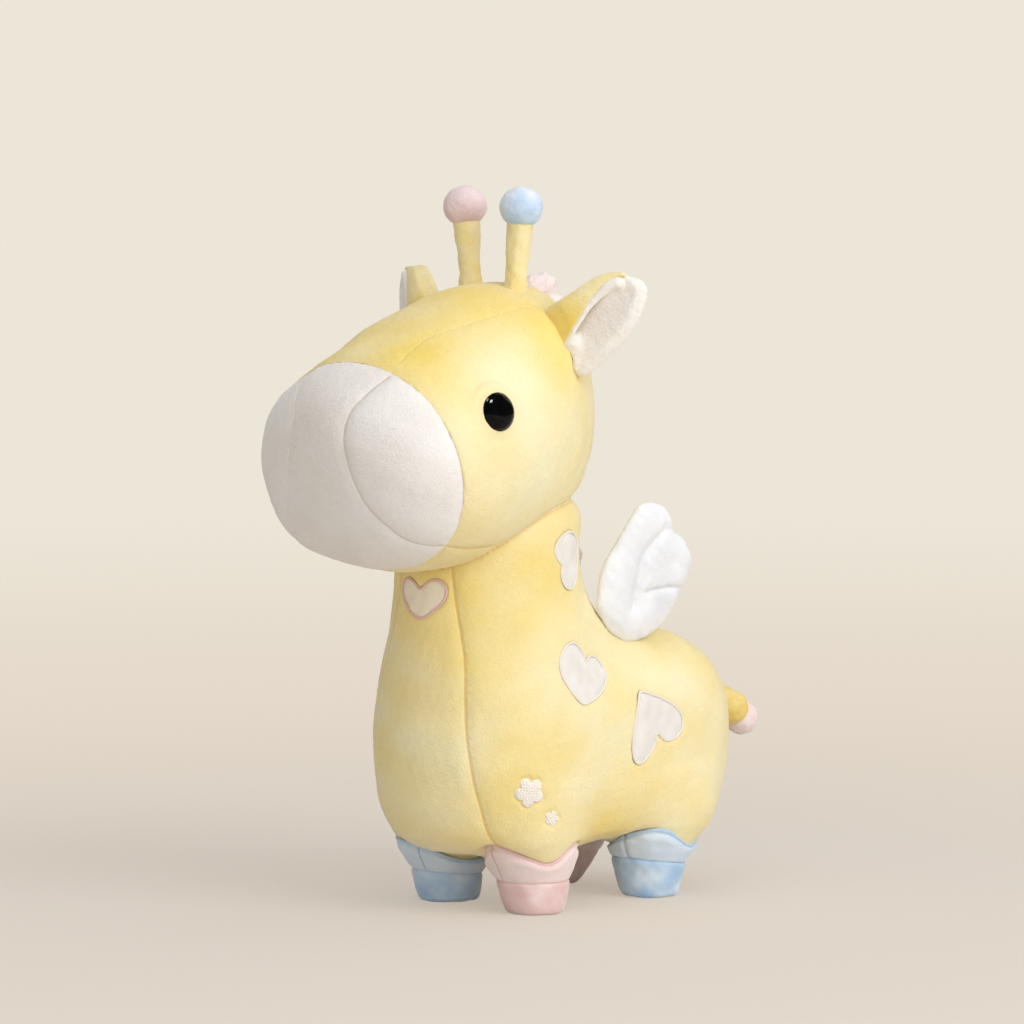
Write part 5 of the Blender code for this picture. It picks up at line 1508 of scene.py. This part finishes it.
# The crest's first puffs, which stand tall behind the horns: (y, z, radius)
TOP_PUFFS = ((-0.0090, 0.2602, 0.0063), (-0.0022, 0.2612, 0.0054), (-0.0012, 0.2535, 0.0046))
HEAD_MANE_SPAN = (-0.755, -0.84)
HEAD_MANE_END = 0.004
HEAD_MANE_PUFFS = 11
HEAD_MANE_SAMPLES = 60
NECK_MANE_PLACES = ((0, 0.0005, 0.146), (0, 0.0015, 0.136), (0, 0.004, 0.1265))
mane_plush = plush("mane_plush", srgb(252, 243, 241), srgb(240, 216, 216), pile=0.0008, **FUZZ)


def mane_middles():
    """Even places down the back of the head."""
    quarter = np.full(HEAD_MANE_SAMPLES + 1, math.pi / 2)
    upper = head_places(even_shares(HEAD_MANE_SPAN[0], -1, HEAD_MANE_SAMPLES), quarter)
    lower = head_places(even_shares(-1, HEAD_MANE_SPAN[1], HEAD_MANE_SAMPLES), -quarter)
    line = np.vstack([upper, lower[1:]])
    return points_at(np.linspace(HEAD_MANE_END, run_along(line)[-1] - HEAD_MANE_END, HEAD_MANE_PUFFS), line)


def puff_row(middles, outs, extra):
    """The form of a row of puffs along a crest."""
    puffs = [(middle + out * MANE_RISE, MANE_PUFF * (MANE_SMALL_PUFF if i % 2 else 1.0))
             for i, (middle, out) in enumerate(zip(middles, outs))]
    puffs += [(np.array((0, y, z)), radius) for y, z, radius in extra]
    narrow = np.array((MANE_PUFF / MANE_HALF_WIDTH, 1, 1))

    def distance(p):
        return merge([(np.linalg.norm((p - middle) * narrow, axis=1) - radius) * MANE_STEEPNESS
                      for middle, radius in puffs], MANE_BLEND)
    return distance


def make_mane(node_name, middles, form, extra, seed):
    distance = puff_row(middles, outward(form, middles), extra)
    net = skin_net(distance, middles.min(axis=0) - MANE_ROOM, middles.max(axis=0) + MANE_ROOM, MANE_STEP)
    mane = piece(node_name + "_plush", *net, mane_plush, "trunk", levels=1)
    tufted(mane, distance, seed, MANE_HILLS, (0.45, 0.6), 0.012)
    stands_for(mane, "pale_pink_plush", 0.7, node_name)


make_mane("head_mane", mane_middles()[2:], head_distance, TOP_PUFFS, 91)
make_mane("neck_mane", onto(body_distance, np.array(NECK_MANE_PLACES), 4), body_distance, (), 92)


# Wings
# Each wing is a white padded leaf of three feathers. Two stitched creases fan out from its root and
# pull both faces together, and the filling swells between them.
WING_ROOT = np.array((0.03, 0.02, 0.109863))
WING_LEAN = math.radians(10)
WING_UP = np.array((math.sin(WING_LEAN), 0, math.cos(WING_LEAN)))
WING_ACROSS = np.array((math.cos(WING_LEAN), 0, -math.sin(WING_LEAN)))
WING_EDGE = ((-2, 0.3), (-7.2, 1.7), (-13, 4.8), (-16.9, 7.9), (-20.2, 11.5), (-23.7, 16.8), (-24.5, 20.4),
             (-24.4, 27.7), (-23, 35.5), (-18.8, 42.1), (-14.5, 48.2), (-10.9, 54.2), (-7.8, 58.9),
             (-6, 60.6), (-2.8, 61.3), (1.2, 61.4), (6.7, 59.8), (11.2, 56.7), (14.3, 52.6), (15.7, 48.7),
             (20.8, 45.7), (24.8, 42.3), (28, 38.1), (29.1, 34.1), (28.6, 29.7), (26.8, 25.6), (25.6, 22.6),
             (24, 19), (21.6, 13.9), (18.2, 10.1), (14.7, 6.4), (9.9, 3.2), (4.2, 1.3))
MAIN_CREASE = ((15.6, 48.9), (11.8, 49.7), (7.4, 49.5), (0.9, 43.8), (-4, 37.1), (-4.3, 29.6), (-4.9, 22.1),
               (-5.4, 17.1))
LOW_CREASE = ((25.2, 22.6), (16.2, 24.3), (6, 23.9), (0.3, 23.2))
# Each crease's line, its width and how much of the filling it pinches
WING_CREASES = ((smooth_line(mm(MAIN_CREASE), 5), 0.0028, 0.38),
                (smooth_line(mm(LOW_CREASE), 5), 0.0016, 0.24))
WING_HALF = 0.0046
WING_PAD_WIDTH = 0.0125
WING_QUIET = 0.0007
# Puckers along the sewn edge: how far apart, how high and how soon they fade, their slant and their sway
WING_PUCKER = (0.0062, 0.00035, 0.0045)
PUCKER_SLANT = 0.8
PUCKER_SWAY = (2.0, 0.011)
WING_EDGE_SPAN = 0.004
WING_STEEPNESS = (0.35, 1.0)
WING_HILLS = ((0.009, 0.00018), (0.003, 0.00006))
WING_STEP = 0.0012
WING_LOW, WING_HIGH = np.array((0.020, -0.012, 0.104)), np.array((0.052, 0.052, 0.176))
wing_edge = smooth_ring(mm(WING_EDGE))
white_plush = plush("white_plush", srgb(250, 250, 252), srgb(226, 228, 234), pile=0.0008, sheen=0.45,
                    seam_colour=srgb(206, 206, 212))


def wing_local(p):
    """Places as seen by the wing: flat (back, up) points, and how far they lie across it."""
    offset = p - WING_ROOT
    return np.stack([offset[:, 1], offset @ WING_UP], -1), offset @ WING_ACROSS


def wing_half(flat, reach):
    """Half the wing's thickness, at points that lie reach inside its edge."""
    y, up = flat.T
    fill = np.sqrt(np.clip(1 - (1 - np.clip(reach / WING_PAD_WIDTH, 0, 1)) ** 2, 0, 1))
    for line, width, share in WING_CREASES:
        fill = fill * (1 - valley(line_distance(flat, line), width, share))
    pitch, height, fade = WING_PUCKER
    sway = PUCKER_SWAY[0] * np.sin(up / PUCKER_SWAY[1])
    pucker = height * np.sin(2 * math.pi * (y * PUCKER_SLANT + up) / pitch + sway)
    return WING_HALF * fill + pucker * np.exp(-np.clip(reach, 0, 1) / fade) * fill


def wing_distance(p):
    flat, across = wing_local(p)
    reach = -outline_reach(flat, wing_edge)
    inside = (np.abs(across) - wing_half(flat, reach)) * np.clip(reach / WING_EDGE_SPAN, *WING_STEEPNESS)
    return np.where(reach > 0, inside, np.hypot(reach, across))


wings = both_sides("wing_plush", skin_net(wing_distance, WING_LOW, WING_HIGH, WING_STEP), wing_distance,
                   white_plush, "wing", WING_HILLS, (0.3, 0.5), (), 101, "white_plush", 0.7, "wing")
for wing, (side_name, side) in zip(wings, SIDES):
    flat, across = wing_local(read_places(wing) * np.array((side, 1, 1)))
    main_crease, low_crease = (line_distance(flat, line) for line, _, _ in WING_CREASES)
    keep_measure(wing, "seam", np.minimum(main_crease + WING_QUIET, low_crease))


# Tail
# A short drooping stub of yellow plush whose end is gathered into a soft pink tuft.
TAIL_ROOT = np.array((0, 0.089004, 0.08242))
TAIL_DROOP = math.radians(23)
TAIL_AXIS = np.array((0, math.cos(TAIL_DROOP), -math.sin(TAIL_DROOP)))
TAIL_SPAN = (-0.004, 0.0264)
TAIL_RADIUS = 0.0076
TAIL_MIDDLE = TAIL_ROOT + TAIL_AXIS * 0.015
TAIL_ROOM = 0.027
TAIL_HILLS = ((0.006, 0.0002),)
TUFT_MIDDLE = np.array((0, 0.1196, 0.0672))
TUFT_REACH = np.array((0.0074, 0.0074, 0.0075))
TUFT_ROOM = 0.0125
tail_yellow = plush("tail_yellow", srgb(246, 226, 158), srgb(236, 198, 84), seams=False)
tuft_pink = plush("tuft_pink", srgb(252, 238, 236), srgb(240, 210, 208), pile=0.0008, **FUZZ)


def tail_distance(p):
    offset = p - TAIL_ROOT
    along = np.clip(offset @ TAIL_AXIS, *TAIL_SPAN)
    return np.linalg.norm(offset - along[:, None] * TAIL_AXIS, axis=1) - TAIL_RADIUS


def tuft_distance(p):
    return (np.linalg.norm((p - TUFT_MIDDLE) / TUFT_REACH, axis=1) - 1) * TUFT_REACH.min()


def make_tail(name, distance, finish, slot, middle, reach, amounts):
    net = skin_net(distance, middle - reach, middle + reach, BALL_STEP)
    made = piece(name + "_plush", *net, finish, "tail", levels=1)
    tufted(made, distance, 111, amounts, (0.5, 0.5))
    stands_for(made, slot, 0.8, name)


make_tail("tail", tail_distance, tail_yellow, "yellow_plush", TAIL_MIDDLE, TAIL_ROOM, TAIL_HILLS)
make_tail("tail_tuft", tuft_distance, tuft_pink, "pale_pink_plush", TUFT_MIDDLE, TUFT_ROOM, TUFTS)


# Hidden stuffing and eye washers
# Polyester fibre fills the head and the body, and a white washer holds each eye's shank inside.
fibre = Finish("fibre", Roughness=1.0, Sheen_Weight=0.4)
fibre_strands = fibre.noise(0.002, 4.0)
fibre.feed("Base Color", fibre.mix(fibre_strands, srgb(238, 236, 230), srgb(214, 212, 206)))
fibre.bump(fibre_strands, 0.0006)
washer_plastic = Finish("washer_plastic", Specular_IOR_Level=0.5)
washer_haze = washer_plastic.noise(0.003, 2.0)
washer_plastic.feed("Base Color", washer_plastic.mix(washer_haze, srgb(232, 232, 228), srgb(214, 214, 210)))
washer_plastic.feed("Roughness", 0.35 + washer_haze * 0.15)
HIDDEN = {"body_stuffing": fibre, "head_stuffing": fibre, "eye_washer_left": washer_plastic,
          "eye_washer_right": washer_plastic}
for node_name, finish in HIDDEN.items():
    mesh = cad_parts[node_name].data
    mesh.materials.clear()
    mesh.materials.append(finish.material)
